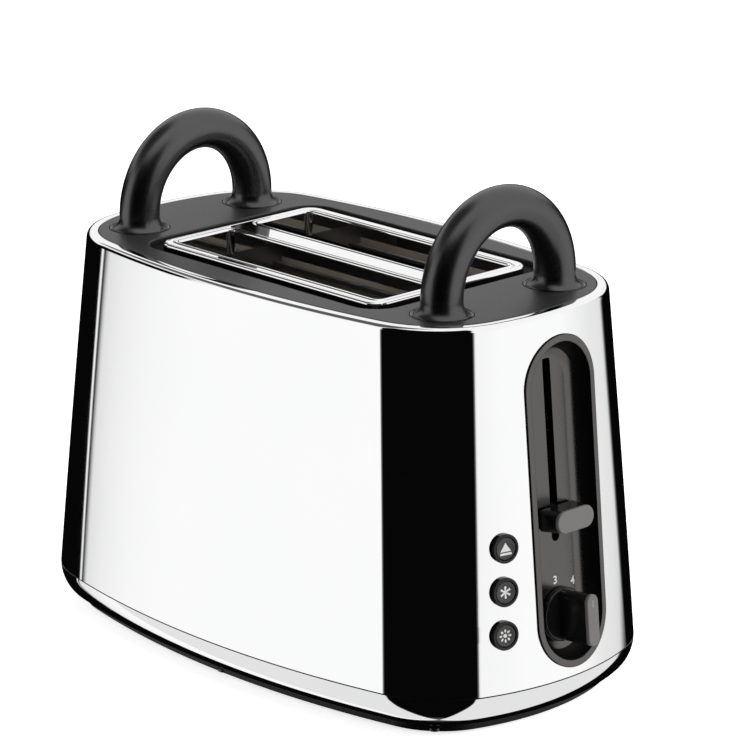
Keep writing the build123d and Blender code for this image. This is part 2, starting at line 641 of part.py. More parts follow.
# Arch handles: a round bar bent to a half circle on turned legs with flared feet
FLARE_TOP = HANDLE_SEAT + HANDLE_FOOT_HEIGHT
FLARE_LOW = HANDLE_SEAT + HANDLE_RECESS_DEPTH
with BuildPart() as handle_leg:
    with BuildSketch(Plane.XZ):
        with BuildLine():
            Polyline(
                (HANDLE_TUBE_RADIUS, FLARE_TOP),
                (HANDLE_TUBE_RADIUS, HANDLE_SPRING_HEIGHT),
                (0, HANDLE_SPRING_HEIGHT),
                (0, HANDLE_SEAT),
                (HANDLE_FOOT_RADIUS, HANDLE_SEAT),
                (HANDLE_FOOT_RADIUS, FLARE_LOW),
            )
            TangentArc(
                (HANDLE_TUBE_RADIUS, FLARE_TOP),
                (HANDLE_FOOT_RADIUS, FLARE_LOW),
                tangent=(0, -1),
            )
        make_face()
    revolve(axis=Axis.Z)
for sx, handle_name in ((1, "control_end_handle"), (-1, "rear_end_handle")):
    handle_x = sx * HANDLE_X
    leg_places = [(handle_x, sy * HANDLE_RADIUS) for sy in SIGNS]
    arch_start = Plane(origin=(handle_x, -HANDLE_RADIUS, HANDLE_SPRING_HEIGHT), z_dir=(0, 0, 1))
    with BuildPart() as handle:
        with BuildLine(Plane.YZ.offset(handle_x)):
            ThreePointArc(
                (-HANDLE_RADIUS, HANDLE_SPRING_HEIGHT),
                (0, HANDLE_SPRING_HEIGHT + HANDLE_RADIUS),
                (HANDLE_RADIUS, HANDLE_SPRING_HEIGHT),
            )
        with BuildSketch(arch_start):
            Circle(HANDLE_TUBE_RADIUS)
        sweep()
        with Locations(*leg_places):
            add(handle_leg.part)
        with BuildSketch(Plane.XY.offset(HANDLE_SEAT)):
            with Locations(*leg_places):
                Circle(HANDLE_SCREW_RADIUS + FIT_GAP)
        extrude(amount=HANDLE_SCREW_DEPTH + FIT_GAP, mode=Mode.SUBTRACT)
    handle.part.label = handle_name
    export_step(handle.part, f"parts/{handle_name}.step")

# Collar rings that close the recess round each flared foot
with BuildPart() as handle_collars:
    with BuildSketch(Plane.XY.offset(HANDLE_SEAT)):
        with Locations(*HANDLE_PLACES):
            Circle(HANDLE_RECESS_RADIUS - FIT_GAP)
            Circle(HANDLE_FOOT_RADIUS + FIT_GAP, mode=Mode.SUBTRACT)
    extrude(amount=COLLAR_RING_HEIGHT)
    chamfer(handle_collars.faces().group_by(Axis.Z)[-1].edges(), COLLAR_RING_EDGE)
handle_collars.part.label = "handle_collars"
export_step(handle_collars.part, "parts/handle_collars.step")

# Handle screws, driven up through the deck into the legs
with BuildPart() as handle_screws:
    with BuildSketch(Plane.XY.offset(DECK_UNDERSIDE - HANDLE_SCREW_RADIUS)):
        with Locations(*HANDLE_PLACES):
            Circle(2 * HANDLE_SCREW_RADIUS)
    extrude(amount=HANDLE_SCREW_RADIUS)
    with BuildSketch(Plane.XY.offset(DECK_UNDERSIDE)):
        with Locations(*HANDLE_PLACES):
            Circle(HANDLE_SCREW_RADIUS)
    extrude(amount=HANDLE_SEAT + HANDLE_SCREW_DEPTH - DECK_UNDERSIDE)
handle_screws.part.label = "handle_screws"
export_step(handle_screws.part, "parts/handle_screws.step")

# Control bezel: moulded recess with a thin flange on the wall, lever slot and shaft hole
bezel_limit = housing_core(-RECESS_FLANGE_PROUD - LAYER_GAP)
bezel_seat = housing_core(-LAYER_GAP)
with BuildPart() as bezel_flange:
    with BuildSketch(RECESS_PLANE.offset(-WALL_CLEAR / 2)):
        SlotOverall(RECESS_HEIGHT, RECESS_WIDTH, 90)
    extrude(amount=WALL_CLEAR)
    add(bezel_limit, mode=Mode.INTERSECT)
    add(bezel_seat, mode=Mode.SUBTRACT)
with BuildPart() as bezel_body:
    with BuildSketch(RECESS_PLANE.offset(-RECESS_BACK)):
        SlotOverall(RECESS_SLEEVE_HEIGHT, RECESS_SLEEVE_WIDTH, 90)
    extrude(amount=WALL_CLEAR)
    add(bezel_limit, mode=Mode.INTERSECT)
    add(bezel_flange.part)
with BuildPart() as recess_cavity:
    with BuildSketch(RECESS_PLANE.offset(-RECESS_DEPTH)):
        SlotOverall(RECESS_INNER_HEIGHT, RECESS_INNER_WIDTH, 90)
    extrude(amount=WALL_CLEAR)
    recess_axis = Axis(RECESS_PLANE.origin, RECESS_PLANE.z_dir)
    fillet(recess_cavity.edges().group_by(recess_axis)[0], RECESS_FLOOR_FILLET)
LEVER_SLOT_HEIGHT = (LEVER_SLOT_TOP - LEVER_SLOT_BOTTOM) / cos(radians(END_TILT))
LEVER_SLOT_PLANE = wall_plane(LEVER_Y, (LEVER_SLOT_TOP + LEVER_SLOT_BOTTOM) / 2)
with BuildPart() as control_bezel:
    add(bezel_body.part)
    add(recess_cavity.part, mode=Mode.SUBTRACT)
    with BuildSketch(LEVER_SLOT_PLANE.offset(-WALL_CLEAR)):
        SlotOverall(LEVER_SLOT_HEIGHT, LEVER_SLOT_WIDTH, 90)
    extrude(amount=WALL_CLEAR, mode=Mode.SUBTRACT)
    with BuildSketch(KNOB_PLANE.offset(-WALL_CLEAR)):
        Circle(KNOB_SHAFT_RADIUS + SEAT_GAP)
    extrude(amount=WALL_CLEAR, mode=Mode.SUBTRACT)
control_bezel.part.label = "control_bezel"
export_step(control_bezel.part, "parts/control_bezel.step")

# Lever knob and pad: a block that stands out of the recess, pocketed for the carriage arm
LEVER_BACK = RECESS_DEPTH - LEVER_FLOOR_GAP
ARM_START = CARRIAGE_X + CARRIAGE_SHEET
with BuildPart() as arm_pocket:
    with BuildSketch(Plane.YZ.offset(ARM_START)):
        with Locations((LEVER_Y, LEVER_REST_HEIGHT)):
            Rectangle(ARM_THICKNESS + 2 * FIT_GAP, ARM_HEIGHT + 2 * FIT_GAP)
    extrude(amount=SEAM_LENGTH)
    split(bisect_by=LEVER_PLANE.offset(ARM_TONGUE + FIT_GAP - LEVER_BACK), keep=Keep.BOTTOM)
with BuildPart() as lever_knob:
    with BuildSketch(LEVER_PLANE.offset(-LEVER_BACK)):
        RectangleRounded(LEVER_WIDTH, LEVER_HEIGHT, LEVER_CORNER)
    with BuildSketch(LEVER_PLANE.offset(LEVER_PROUD - PAD_THICKNESS)):
        RectangleRounded(LEVER_WIDTH, LEVER_HEIGHT, LEVER_HEIGHT / 2 - LAYER_GAP)
    loft(ruled=True)
    add(arm_pocket.part, mode=Mode.SUBTRACT)
lever_knob.part.label = "lever_knob"
export_step(lever_knob.part, "parts/lever_knob.step")

with BuildPart() as lever_pad:
    with BuildSketch(LEVER_PLANE.offset(LEVER_PROUD - PAD_THICKNESS)):
        SlotOverall(LEVER_WIDTH, LEVER_HEIGHT)
    extrude(amount=PAD_THICKNESS)
    pad_axis = Axis(LEVER_PLANE.origin, LEVER_PLANE.z_dir)
    fillet(lever_pad.edges().group_by(pad_axis)[-1], PAD_EDGE)
lever_pad.part.label = "lever_pad"
export_step(lever_pad.part, "parts/lever_pad.step")

# Browning knob: thin disc and tall fin grip, bored for the shaft, with a pad on the fin's end
KNOB_BASE = RECESS_DEPTH - KNOB_FLOOR_GAP
with BuildPart() as browning_knob:
    with BuildSketch(KNOB_PLANE.offset(-KNOB_BASE)):
        Circle(KNOB_DISC_RADIUS)
    extrude(amount=KNOB_DISC_THICKNESS)
    knob_axis = Axis(KNOB_PLANE.origin, KNOB_PLANE.z_dir)
    fillet(browning_knob.edges().group_by(knob_axis)[-1], KNOB_DISC_EDGE)
    with BuildSketch(KNOB_PLANE.offset(-KNOB_BASE)):
        SlotOverall(KNOB_FIN_LENGTH, KNOB_FIN_WIDTH, 90)
    extrude(amount=KNOB_BASE + KNOB_PROUD - PAD_THICKNESS)
    with BuildSketch(KNOB_PLANE.offset(-KNOB_BASE)):
        Circle(KNOB_SHAFT_RADIUS + RUNNING_GAP)
    extrude(amount=KNOB_SHAFT_ENTRY, mode=Mode.SUBTRACT)
browning_knob.part.label = "browning_knob"
export_step(browning_knob.part, "parts/browning_knob.step")

with BuildPart() as knob_pad:
    with BuildSketch(KNOB_PLANE.offset(KNOB_PROUD - PAD_THICKNESS)):
        SlotOverall(KNOB_FIN_LENGTH, KNOB_FIN_WIDTH, 90)
    extrude(amount=PAD_THICKNESS)
    fillet(knob_pad.edges().group_by(knob_axis)[-1], PAD_EDGE)
knob_pad.part.label = "knob_pad"
export_step(knob_pad.part, "parts/knob_pad.step")

with BuildPart() as knob_shaft:
    with BuildSketch(KNOB_PLANE.offset(-(RECESS_BACK + POT_BORE_DEPTH - SEAT_GAP))):
        Circle(KNOB_SHAFT_RADIUS)
    extrude(amount=RECESS_BACK + POT_BORE_DEPTH - SEAT_GAP - KNOB_BASE + KNOB_SHAFT_ENTRY)
knob_shaft.part.label = "knob_shaft"
export_step(knob_shaft.part, "parts/knob_shaft.step")

# Potentiometer behind the recess floor, with its terminal block
with BuildPart() as potentiometer:
    with BuildSketch(KNOB_PLANE.offset(-(RECESS_BACK + POT_THICKNESS))):
        Circle(POT_RADIUS)
        with Locations((0, -POT_RADIUS)):
            Rectangle(POT_RADIUS, POT_RADIUS)
    extrude(amount=POT_THICKNESS)
    with BuildSketch(KNOB_PLANE.offset(-(RECESS_BACK + POT_BORE_DEPTH))):
        Circle(KNOB_SHAFT_RADIUS + RUNNING_GAP)
    extrude(amount=POT_BORE_DEPTH, mode=Mode.SUBTRACT)
potentiometer.part.label = "potentiometer"
export_step(potentiometer.part, "parts/potentiometer.step")

# Button rings, one turned profile placed at each button
with BuildPart() as button_ring:
    with BuildSketch(Plane.XZ):
        with BuildLine():
            Polyline(
                (BUTTON_CAP_RADIUS + SLIDE_GAP, -BUTTON_SLEEVE_DEPTH),
                (BUTTON_SLEEVE_RADIUS, -BUTTON_SLEEVE_DEPTH),
                (BUTTON_SLEEVE_RADIUS, FIT_GAP),
                (BUTTON_RING_RADIUS, FIT_GAP),
                (BUTTON_RING_RADIUS, BUTTON_RING_PROUD - BUTTON_RING_EDGE),
            )
            RadiusArc(
                (BUTTON_RING_RADIUS, BUTTON_RING_PROUD - BUTTON_RING_EDGE),
                (BUTTON_RING_RADIUS - BUTTON_RING_EDGE, BUTTON_RING_PROUD),
                -BUTTON_RING_EDGE,
            )
            Polyline(
                (BUTTON_RING_RADIUS - BUTTON_RING_EDGE, BUTTON_RING_PROUD),
                (BUTTON_CAP_RADIUS + SLIDE_GAP, BUTTON_RING_PROUD),
                (BUTTON_CAP_RADIUS + SLIDE_GAP, -BUTTON_SLEEVE_DEPTH),
            )
        make_face()
    revolve(axis=Axis.Z)
with BuildPart() as button_rings:
    for index in range(BUTTON_COUNT):
        with Locations(button_plane(index)):
            add(button_ring.part)
button_rings.part.label = "button_rings"
export_step(button_rings.part, "parts/button_rings.step")

# Button caps: dished face, retaining flange behind the ring, stem down to the switch
SWITCH_FACE = BUTTON_BOARD_DEPTH - SWITCH_HEIGHT - SWITCH_PLUNGER
STEM_END = SWITCH_FACE - BUTTON_TRAVEL - SEAT_GAP
FLANGE_TOP = -BUTTON_SLEEVE_DEPTH - SEAT_GAP
with BuildPart() as button_cap:
    with BuildSketch(Plane.XZ):
        with BuildLine():
            Polyline(
                (0, BUTTON_CAP_PROUD - BUTTON_DISH),
                (0, -STEM_END),
                (BUTTON_STEM_RADIUS, -STEM_END),
                (BUTTON_STEM_RADIUS, FLANGE_TOP - BUTTON_FLANGE_THICKNESS),
                (BUTTON_FLANGE_RADIUS, FLANGE_TOP - BUTTON_FLANGE_THICKNESS),
                (BUTTON_FLANGE_RADIUS, FLANGE_TOP),
                (BUTTON_CAP_RADIUS, FLANGE_TOP),
                (BUTTON_CAP_RADIUS, BUTTON_CAP_PROUD - BUTTON_CAP_EDGE),
                (BUTTON_CAP_RADIUS - BUTTON_CAP_EDGE, BUTTON_CAP_PROUD),
            )
            TangentArc(
                (0, BUTTON_CAP_PROUD - BUTTON_DISH),
                (BUTTON_CAP_RADIUS - BUTTON_CAP_EDGE, BUTTON_CAP_PROUD),
                tangent=(1, 0),
            )
        make_face()
    revolve(axis=Axis.Z)
for index, button_name in enumerate(("reheat_button", "defrost_button", "eject_button")):
    with BuildPart() as button:
        with Locations(button_plane(index)):
            add(button_cap.part)
    button.part.label = button_name
    export_step(button.part, f"parts/{button_name}.step")

# Button carrier: plate behind the wall that holds the rings, with posts for the switch board
CARRIER_HEIGHT = 2 * BUTTON_PITCH + 2 * BUTTON_BOARD_MARGIN
POST_X = BUTTON_BOARD_WIDTH / 2 - BUTTON_POST_INSET
POST_Y = CARRIER_HEIGHT / 2 - BUTTON_POST_INSET
with BuildPart() as button_carrier:
    with BuildSketch(button_plane(1).offset(-CARRIER_DEPTH - BUTTON_CARRIER_THICKNESS)):
        RectangleRounded(BUTTON_BOARD_WIDTH, CARRIER_HEIGHT, BUTTON_POST_RADIUS)
    extrude(amount=BUTTON_CARRIER_THICKNESS)
    with BuildSketch(button_plane(1).offset(-BUTTON_BOARD_DEPTH)):
        with GridLocations(2 * POST_X, 2 * POST_Y, 2, 2):
            Circle(BUTTON_POST_RADIUS)
    extrude(amount=BUTTON_BOARD_DEPTH - CARRIER_DEPTH - BUTTON_CARRIER_THICKNESS)
    for index in range(BUTTON_COUNT):
        with BuildSketch(button_plane(index).offset(-WALL_CLEAR)):
            Circle(BUTTON_SLEEVE_RADIUS + FIT_GAP)
        extrude(amount=2 * WALL_CLEAR, mode=Mode.SUBTRACT)
button_carrier.part.label = "button_carrier"
export_step(button_carrier.part, "parts/button_carrier.step")

with BuildPart() as button_board:
    with BuildSketch(button_plane(1).offset(-BUTTON_BOARD_DEPTH - BOARD_SHEET)):
        RectangleRounded(BUTTON_BOARD_WIDTH, CARRIER_HEIGHT, BUTTON_POST_RADIUS)
    extrude(amount=BOARD_SHEET)
button_board.part.label = "button_board"
export_step(button_board.part, "parts/button_board.step")

# Switches on the board, each in line with the end of a button's stem
SWITCH_PLACES = []
for index in range(BUTTON_COUNT):
    stem_end = button_plane(1).to_local_coords(button_plane(index).offset(-STEM_END).origin)
    SWITCH_PLACES.append((stem_end.X, stem_end.Y))
with BuildPart() as tact_switches:
    with BuildSketch(button_plane(1).offset(-BUTTON_BOARD_DEPTH)):
        with Locations(*SWITCH_PLACES):
            Rectangle(SWITCH_SIZE, SWITCH_SIZE)
    extrude(amount=SWITCH_HEIGHT)
    with BuildSketch(button_plane(1).offset(SWITCH_HEIGHT - BUTTON_BOARD_DEPTH)):
        with Locations(*SWITCH_PLACES):
            Circle(BUTTON_STEM_RADIUS)
    extrude(amount=SWITCH_PLUNGER)
tact_switches.part.label = "tact_switches"
export_step(tact_switches.part, "parts/tact_switches.step")

# Bulkheads: end plates of the toasting chassis, slotted for the racks and drilled for the guides
GUIDE_PLACES = {
    "left_outer_guide": (-SLOT_Y - GUIDE_OFFSET, -1),
    "left_inner_guide": (-SLOT_Y + GUIDE_OFFSET, 1),
    "right_inner_guide": (SLOT_Y - GUIDE_OFFSET, -1),
    "right_outer_guide": (SLOT_Y + GUIDE_OFFSET, 1),
}
RACK_WEB_BOTTOM = RACK_HEIGHT - RACK_WEB_HEIGHT
WEB_SLOT_BOTTOM = RACK_WEB_BOTTOM - WEB_SLOT_SPARE
WEB_SLOT_TOP = RACK_HEIGHT + LEVER_TRAVEL + WEB_SLOT_SPARE
for sx, bulkhead_name in ((1, "front_bulkhead"), (-1, "rear_bulkhead")):
    near_x = BULKHEAD_X if sx > 0 else -BULKHEAD_X - BULKHEAD_SHEET
    outer_x = sx * (BULKHEAD_X + BULKHEAD_SHEET + BULKHEAD_FLANGE / 2)
    with BuildPart() as bulkhead:
        with BuildSketch(Plane.YZ.offset(near_x)) as plate:
            with Locations((0, (BULKHEAD_TOP + BASE_TOP) / 2)):
                Rectangle(BULKHEAD_WIDTH, BULKHEAD_TOP - BASE_TOP)
            fillet(plate.vertices().group_by(Axis.Y)[-1], BULKHEAD_CORNER)
            with Locations((0, BASE_TOP + TRAY_WINDOW_HEIGHT / 2)):
                Rectangle(TRAY_WIDTH + 4 * TRAY_GAP, TRAY_WINDOW_HEIGHT, mode=Mode.SUBTRACT)
            with Locations((0, (WEB_SLOT_TOP + WEB_SLOT_BOTTOM) / 2)):
                with GridLocations(2 * SLOT_Y, 1, 2, 1):
                    SlotOverall(WEB_SLOT_TOP - WEB_SLOT_BOTTOM, WEB_SLOT_WIDTH, 90, mode=Mode.SUBTRACT)
            for guide_y, opens in GUIDE_PLACES.values():
                with Locations((guide_y, GUIDE_PIVOT_HEIGHT)):
                    Circle(GUIDE_PIN_RADIUS + RUNNING_GAP, mode=Mode.SUBTRACT)
        extrude(amount=BULKHEAD_SHEET)
        with BuildSketch(Plane.XY.offset(BASE_TOP)):
            for sy in SIGNS:
                with Locations((outer_x, sy * (BULKHEAD_WIDTH - BULKHEAD_FLANGE) / 2)):
                    Rectangle(BULKHEAD_FLANGE, BULKHEAD_FLANGE)
        extrude(amount=BULKHEAD_SHEET)
        if sx > 0:
            with BuildSketch(Plane.XY.offset(SPRING_TOP)):
                for sy in SIGNS:
                    with Locations((BULKHEAD_X + BULKHEAD_SHEET, sy * SPRING_Y)):
                        Rectangle(SPRING_TAB_REACH, SPRING_TAB_WIDTH, align=(Align.MIN, Align.CENTER))
            extrude(amount=SPRING_TAB)
    bulkhead.part.label = bulkhead_name
    export_step(bulkhead.part, f"parts/{bulkhead_name}.step")

# Heat shields between the bulkheads, with folded top and bottom edges
for sy, shield_name in ((-1, "left_shield"), (1, "right_shield")):
    with BuildPart() as shield:
        with BuildSketch(Plane.YZ.offset(-BULKHEAD_X)):
            with Locations((sy * (SHIELD_Y - SHIELD_SHEET / 2), (SHIELD_TOP + SHIELD_BOTTOM) / 2)):
                Rectangle(SHIELD_SHEET, SHIELD_TOP - SHIELD_BOTTOM)
            for edge in (SHIELD_TOP - SHIELD_SHEET / 2, SHIELD_BOTTOM + SHIELD_SHEET / 2):
                with Locations((sy * (SHIELD_Y - SHIELD_FOLD / 2), edge)):
                    Rectangle(SHIELD_FOLD, SHIELD_SHEET)
        extrude(amount=2 * BULKHEAD_X)
    shield.part.label = shield_name
    export_step(shield.part, f"parts/{shield_name}.step")

# Heater boards: thin sheets between the bulkheads, with notched ends
HEATER_MIDDLE = (HEATER_TOP + HEATER_BOTTOM) / 2
for heater_y, heater_name in ((-HEATER_Y, "left_heater"), (0, "centre_heater"), (HEATER_Y, "right_heater")):
    with BuildPart() as heater:
        with BuildSketch(Plane.XZ.offset(-heater_y - HEATER_SHEET / 2)):
            with Locations((0, HEATER_MIDDLE)):
                Rectangle(2 * BULKHEAD_X, HEATER_TOP - HEATER_BOTTOM)
                with GridLocations(2 * BULKHEAD_X, HEATER_NOTCH_PITCH, 2, HEATER_NOTCH_COUNT):
                    Circle(HEATER_NOTCH_RADIUS, mode=Mode.SUBTRACT)
        extrude(amount=HEATER_SHEET)
    heater.part.label = heater_name
    export_step(heater.part, f"parts/{heater_name}.step")

# Heater windings: a flat ribbon in a zigzag on each face that looks at a slot
RIBBON_FACES = [
    (-HEATER_Y + HEATER_SHEET / 2, 1),
    (-HEATER_SHEET / 2, -1),
    (HEATER_SHEET / 2, 1),
    (HEATER_Y - HEATER_SHEET / 2, -1),
]
with BuildPart() as heater_windings:
    for face_y, toward in RIBBON_FACES:
        with BuildSketch(Plane.XZ.offset(-face_y)):
            for turn in range(RIBBON_TURNS):
                height = HEATER_MIDDLE + (turn - (RIBBON_TURNS - 1) / 2) * RIBBON_PITCH
                with Locations((0, height)):
                    Rectangle(RIBBON_LENGTH, RIBBON_WIDTH)
                if turn < RIBBON_TURNS - 1:
                    end_x = (RIBBON_LENGTH - RIBBON_WIDTH) / 2 * (-1) ** turn
                    with Locations((end_x, height + RIBBON_PITCH / 2)):
                        Rectangle(RIBBON_WIDTH, RIBBON_PITCH)
        extrude(amount=-toward * RIBBON_THICKNESS)
heater_windings.part.label = "heater_windings"
export_step(heater_windings.part, "parts/heater_windings.step")

# Bread guides: windowed plates with a folded top edge, each turning on a pin at its foot
GUIDE_PIN_LENGTH = 2 * (BULKHEAD_X + BULKHEAD_SHEET + GUIDE_PIN_RADIUS)
GUIDE_WINDOW_MIDDLE = (GUIDE_WINDOW_TOP + GUIDE_WINDOW_BOTTOM) / 2
for guide_name, (guide_y, opens) in GUIDE_PLACES.items():
    with BuildPart() as guide:
        with BuildSketch(Plane.XZ.offset(-guide_y - GUIDE_SHEET / 2)) as plate:
            with Locations((0, (GUIDE_TOP + GUIDE_PIVOT_HEIGHT) / 2)):
                Rectangle(GUIDE_LENGTH, GUIDE_TOP - GUIDE_PIVOT_HEIGHT)
            with Locations((0, GUIDE_WINDOW_MIDDLE)):
                with GridLocations(GUIDE_WINDOW_PITCH, 1, GUIDE_WINDOW_COUNT, 1):
                    SlotOverall(
                        GUIDE_WINDOW_TOP - GUIDE_WINDOW_BOTTOM, GUIDE_WINDOW_WIDTH, 90, mode=Mode.SUBTRACT
                    )
            with Locations((0, (GUIDE_WINDOW_TOP + GUIDE_TOP) / 2)):
                with GridLocations(2 * GUIDE_WINDOW_PITCH, 1, GUIDE_HOLE_COUNT, 1):
                    Circle(GUIDE_HOLE_RADIUS, mode=Mode.SUBTRACT)
        extrude(amount=GUIDE_SHEET)
        with BuildSketch(Plane.XY.offset(GUIDE_TOP - GUIDE_SHEET)):
            with Locations((0, guide_y + opens * GUIDE_FOLD / 2)):
                Rectangle(GUIDE_LENGTH, GUIDE_FOLD)
        extrude(amount=GUIDE_SHEET)
        with BuildSketch(Plane.YZ.offset(-GUIDE_PIN_LENGTH / 2)):
            with Locations((guide_y, GUIDE_PIVOT_HEIGHT)):
                Circle(GUIDE_PIN_RADIUS)
        extrude(amount=GUIDE_PIN_LENGTH)
    guide.part.label = guide_name
    export_step(guide.part, f"parts/{guide_name}.step")

# Bread racks: a slotted strip with cross ribs on a web that runs through both bulkheads
RACK_END = BULKHEAD_X - RACK_END_GAP
for sy, rack_name in ((-1, "left_rack"), (1, "right_rack")):
    rack_y = sy * SLOT_Y
    with BuildPart() as rack:
        with BuildSketch(Plane.XY.offset(RACK_HEIGHT)):
            with Locations((0, rack_y)):
                Rectangle(2 * RACK_END, RACK_WIDTH)
                with GridLocations(RACK_RIB_PITCH, RACK_WIDTH / 2, RACK_RIB_COUNT - 1, 2):
                    SlotOverall(RACK_WINDOW_LENGTH, RACK_WINDOW_WIDTH, mode=Mode.SUBTRACT)
        extrude(amount=RACK_SHEET)
        with BuildSketch(Plane.XY.offset(RACK_HEIGHT + RACK_SHEET)):
            with Locations((0, rack_y)):
                with GridLocations(RACK_RIB_PITCH, 1, RACK_RIB_COUNT, 1):
                    Rectangle(RACK_RIB_SHEET, RACK_WIDTH)
        extrude(amount=RACK_RIB_HEIGHT)
        with BuildSketch(Plane.XY.offset(RACK_WEB_BOTTOM)):
            with Locations((CARRIAGE_X, rack_y)):
                Rectangle(
                    CARRIAGE_X + BULKHEAD_X + BULKHEAD_SHEET + RACK_END_GAP,
                    RACK_SHEET,
                    align=(Align.MAX, Align.CENTER),
                )
        extrude(amount=RACK_WEB_HEIGHT)
    rack.part.label = rack_name
    export_step(rack.part, f"parts/{rack_name}.step")

# Carriage plate: joins the racks, with tabs for the springs and the armature
with BuildPart() as carriage_plate:
    with BuildSketch(Plane.YZ.offset(CARRIAGE_X)) as plate:
        with Locations((0, (CARRIAGE_TOP + CARRIAGE_BOTTOM) / 2)):
            Rectangle(CARRIAGE_WIDTH, CARRIAGE_TOP - CARRIAGE_BOTTOM)
        fillet(plate.vertices().group_by(Axis.Y)[-1], CARRIAGE_CORNER)
        with Locations((0, (CARRIAGE_TOP + CARRIAGE_BOTTOM) / 2)):
            with GridLocations(2 * SLOT_Y, 1, 2, 1):
                SlotOverall(CARRIAGE_HOLE_HEIGHT, CARRIAGE_CORNER, 90, mode=Mode.SUBTRACT)
    extrude(amount=CARRIAGE_SHEET)
    with BuildSketch(Plane.XY.offset(SPRING_FOOT)):
        for sy in SIGNS:
            with Locations((CARRIAGE_X, sy * SPRING_Y)):
                Rectangle(
                    CARRIAGE_X - SPRING_X + SPRING_TAB_WIDTH / 2,
                    SPRING_TAB_WIDTH,
                    align=(Align.MAX, Align.CENTER),
                )
    extrude(amount=SPRING_TAB)
    with BuildSketch(Plane.XY.offset(CARRIAGE_BOTTOM)):
        with Locations((ARM_START, MAGNET_Y)):
            Rectangle(
                MAGNET_X + ARMATURE_SIZE / 2 - ARM_START, ARMATURE_SIZE, align=(Align.MIN, Align.CENTER)
            )
    extrude(amount=SPRING_TAB)
carriage_plate.part.label = "carriage_plate"
export_step(carriage_plate.part, "parts/carriage_plate.step")

# Lever arm from the carriage plate through the recess floor into the lever knob
with BuildPart() as lever_arm:
    with BuildSketch(Plane.YZ.offset(ARM_START)):
        with Locations((LEVER_Y, LEVER_REST_HEIGHT)):
            Rectangle(ARM_THICKNESS, ARM_HEIGHT)
    extrude(amount=SEAM_LENGTH)
    split(bisect_by=LEVER_PLANE.offset(ARM_TONGUE - LEVER_BACK), keep=Keep.BOTTOM)
lever_arm.part.label = "lever_arm"
export_step(lever_arm.part, "parts/lever_arm.step")

# Slide bushes on the carriage plate and the rods they run on
ROD_PLACES = [(ROD_X, sy * ROD_Y) for sy in SIGNS]
with BuildPart() as slide_bushes:
    with BuildSketch(Plane.XY.offset(BUSH_BOTTOM)):
        with Locations(*ROD_PLACES):
            Circle(BUSH_RADIUS)
        with Locations(*[(ARM_START, sy * ROD_Y) for sy in SIGNS]):
            Rectangle(ROD_X - ARM_START, BUSH_WEB, align=(Align.MIN, Align.CENTER))
        with Locations(*ROD_PLACES):
            Circle(ROD_RADIUS + RUNNING_GAP, mode=Mode.SUBTRACT)
    extrude(amount=BUSH_LENGTH)
slide_bushes.part.label = "slide_bushes"
export_step(slide_bushes.part, "parts/slide_bushes.step")

with BuildPart() as guide_rods:
    with BuildSketch(Plane.XY.offset(BASE_TOP)):
        with Locations(*ROD_PLACES):
            Circle(ROD_RADIUS)
    extrude(amount=DECK_UNDERSIDE - BASE_TOP)
guide_rods.part.label = "guide_rods"
export_step(guide_rods.part, "parts/guide_rods.step")

# Lift springs between the tabs of the carriage and the front bulkhead
SPRING_BOTTOM = SPRING_FOOT + SPRING_TAB
with BuildPart() as lift_springs:
    for sy in SIGNS:
        spring_length = SPRING_TOP - SPRING_BOTTOM - 2 * SPRING_WIRE_RADIUS
        with BuildLine(Plane(origin=(SPRING_X, sy * SPRING_Y, SPRING_BOTTOM + SPRING_WIRE_RADIUS))) as coil:
            Helix(pitch=spring_length / SPRING_TURNS, height=spring_length, radius=SPRING_RADIUS)
        with BuildSketch(Plane(origin=coil.wires()[0] @ 0, z_dir=coil.wires()[0] % 0)):
            RegularPolygon(SPRING_WIRE_RADIUS, 6)
        sweep(path=coil.wires()[0])
lift_springs.part.label = "lift_springs"
export_step(lift_springs.part, "parts/lift_springs.step")

# Hold magnet under the carriage: core on a foot, coil on a flanged bobbin, armature on the carriage
MAGNET_TOP = CARRIAGE_BOTTOM - ARMATURE_THICKNESS - SEAT_GAP
with BuildPart() as hold_magnet:
    with BuildSketch(Plane.XY.offset(BASE_TOP)):
        with Locations((MAGNET_X, MAGNET_Y)):
            Circle(MAGNET_FOOT_RADIUS)
    extrude(amount=CARRIAGE_SHEET)
    with BuildSketch(Plane.XY.offset(BASE_TOP)):
        with Locations((MAGNET_X, MAGNET_Y)):
            Circle(MAGNET_CORE_RADIUS)
    extrude(amount=MAGNET_TOP - BASE_TOP)
hold_magnet.part.label = "hold_magnet"
export_step(hold_magnet.part, "parts/hold_magnet.step")

COIL_BOTTOM = MAGNET_TOP - COIL_HEIGHT - CARRIAGE_SHEET
with BuildPart() as magnet_coil:
    for height, radius, length in (
        (COIL_BOTTOM, COIL_RADIUS + CARRIAGE_SHEET, CARRIAGE_SHEET),
        (COIL_BOTTOM, COIL_RADIUS, COIL_HEIGHT),
        (COIL_BOTTOM + COIL_HEIGHT - CARRIAGE_SHEET, COIL_RADIUS + CARRIAGE_SHEET, CARRIAGE_SHEET),
    ):
        with BuildSketch(Plane.XY.offset(height)):
            with Locations((MAGNET_X, MAGNET_Y)):
                Circle(radius)
        extrude(amount=length)
    with BuildSketch(Plane.XY.offset(COIL_BOTTOM)):
        with Locations((MAGNET_X, MAGNET_Y)):
            Circle(MAGNET_CORE_RADIUS + RUNNING_GAP)
    extrude(amount=COIL_HEIGHT, mode=Mode.SUBTRACT)
magnet_coil.part.label = "magnet_coil"
export_step(magnet_coil.part, "parts/magnet_coil.step")

with BuildPart() as armature:
    with BuildSketch(Plane.XY.offset(CARRIAGE_BOTTOM - ARMATURE_THICKNESS)):
        with Locations((MAGNET_X, MAGNET_Y)):
            RectangleRounded(ARMATURE_SIZE, ARMATURE_SIZE, CARRIAGE_SHEET)
    extrude(amount=ARMATURE_THICKNESS)
armature.part.label = "armature"
export_step(armature.part, "parts/armature.step")

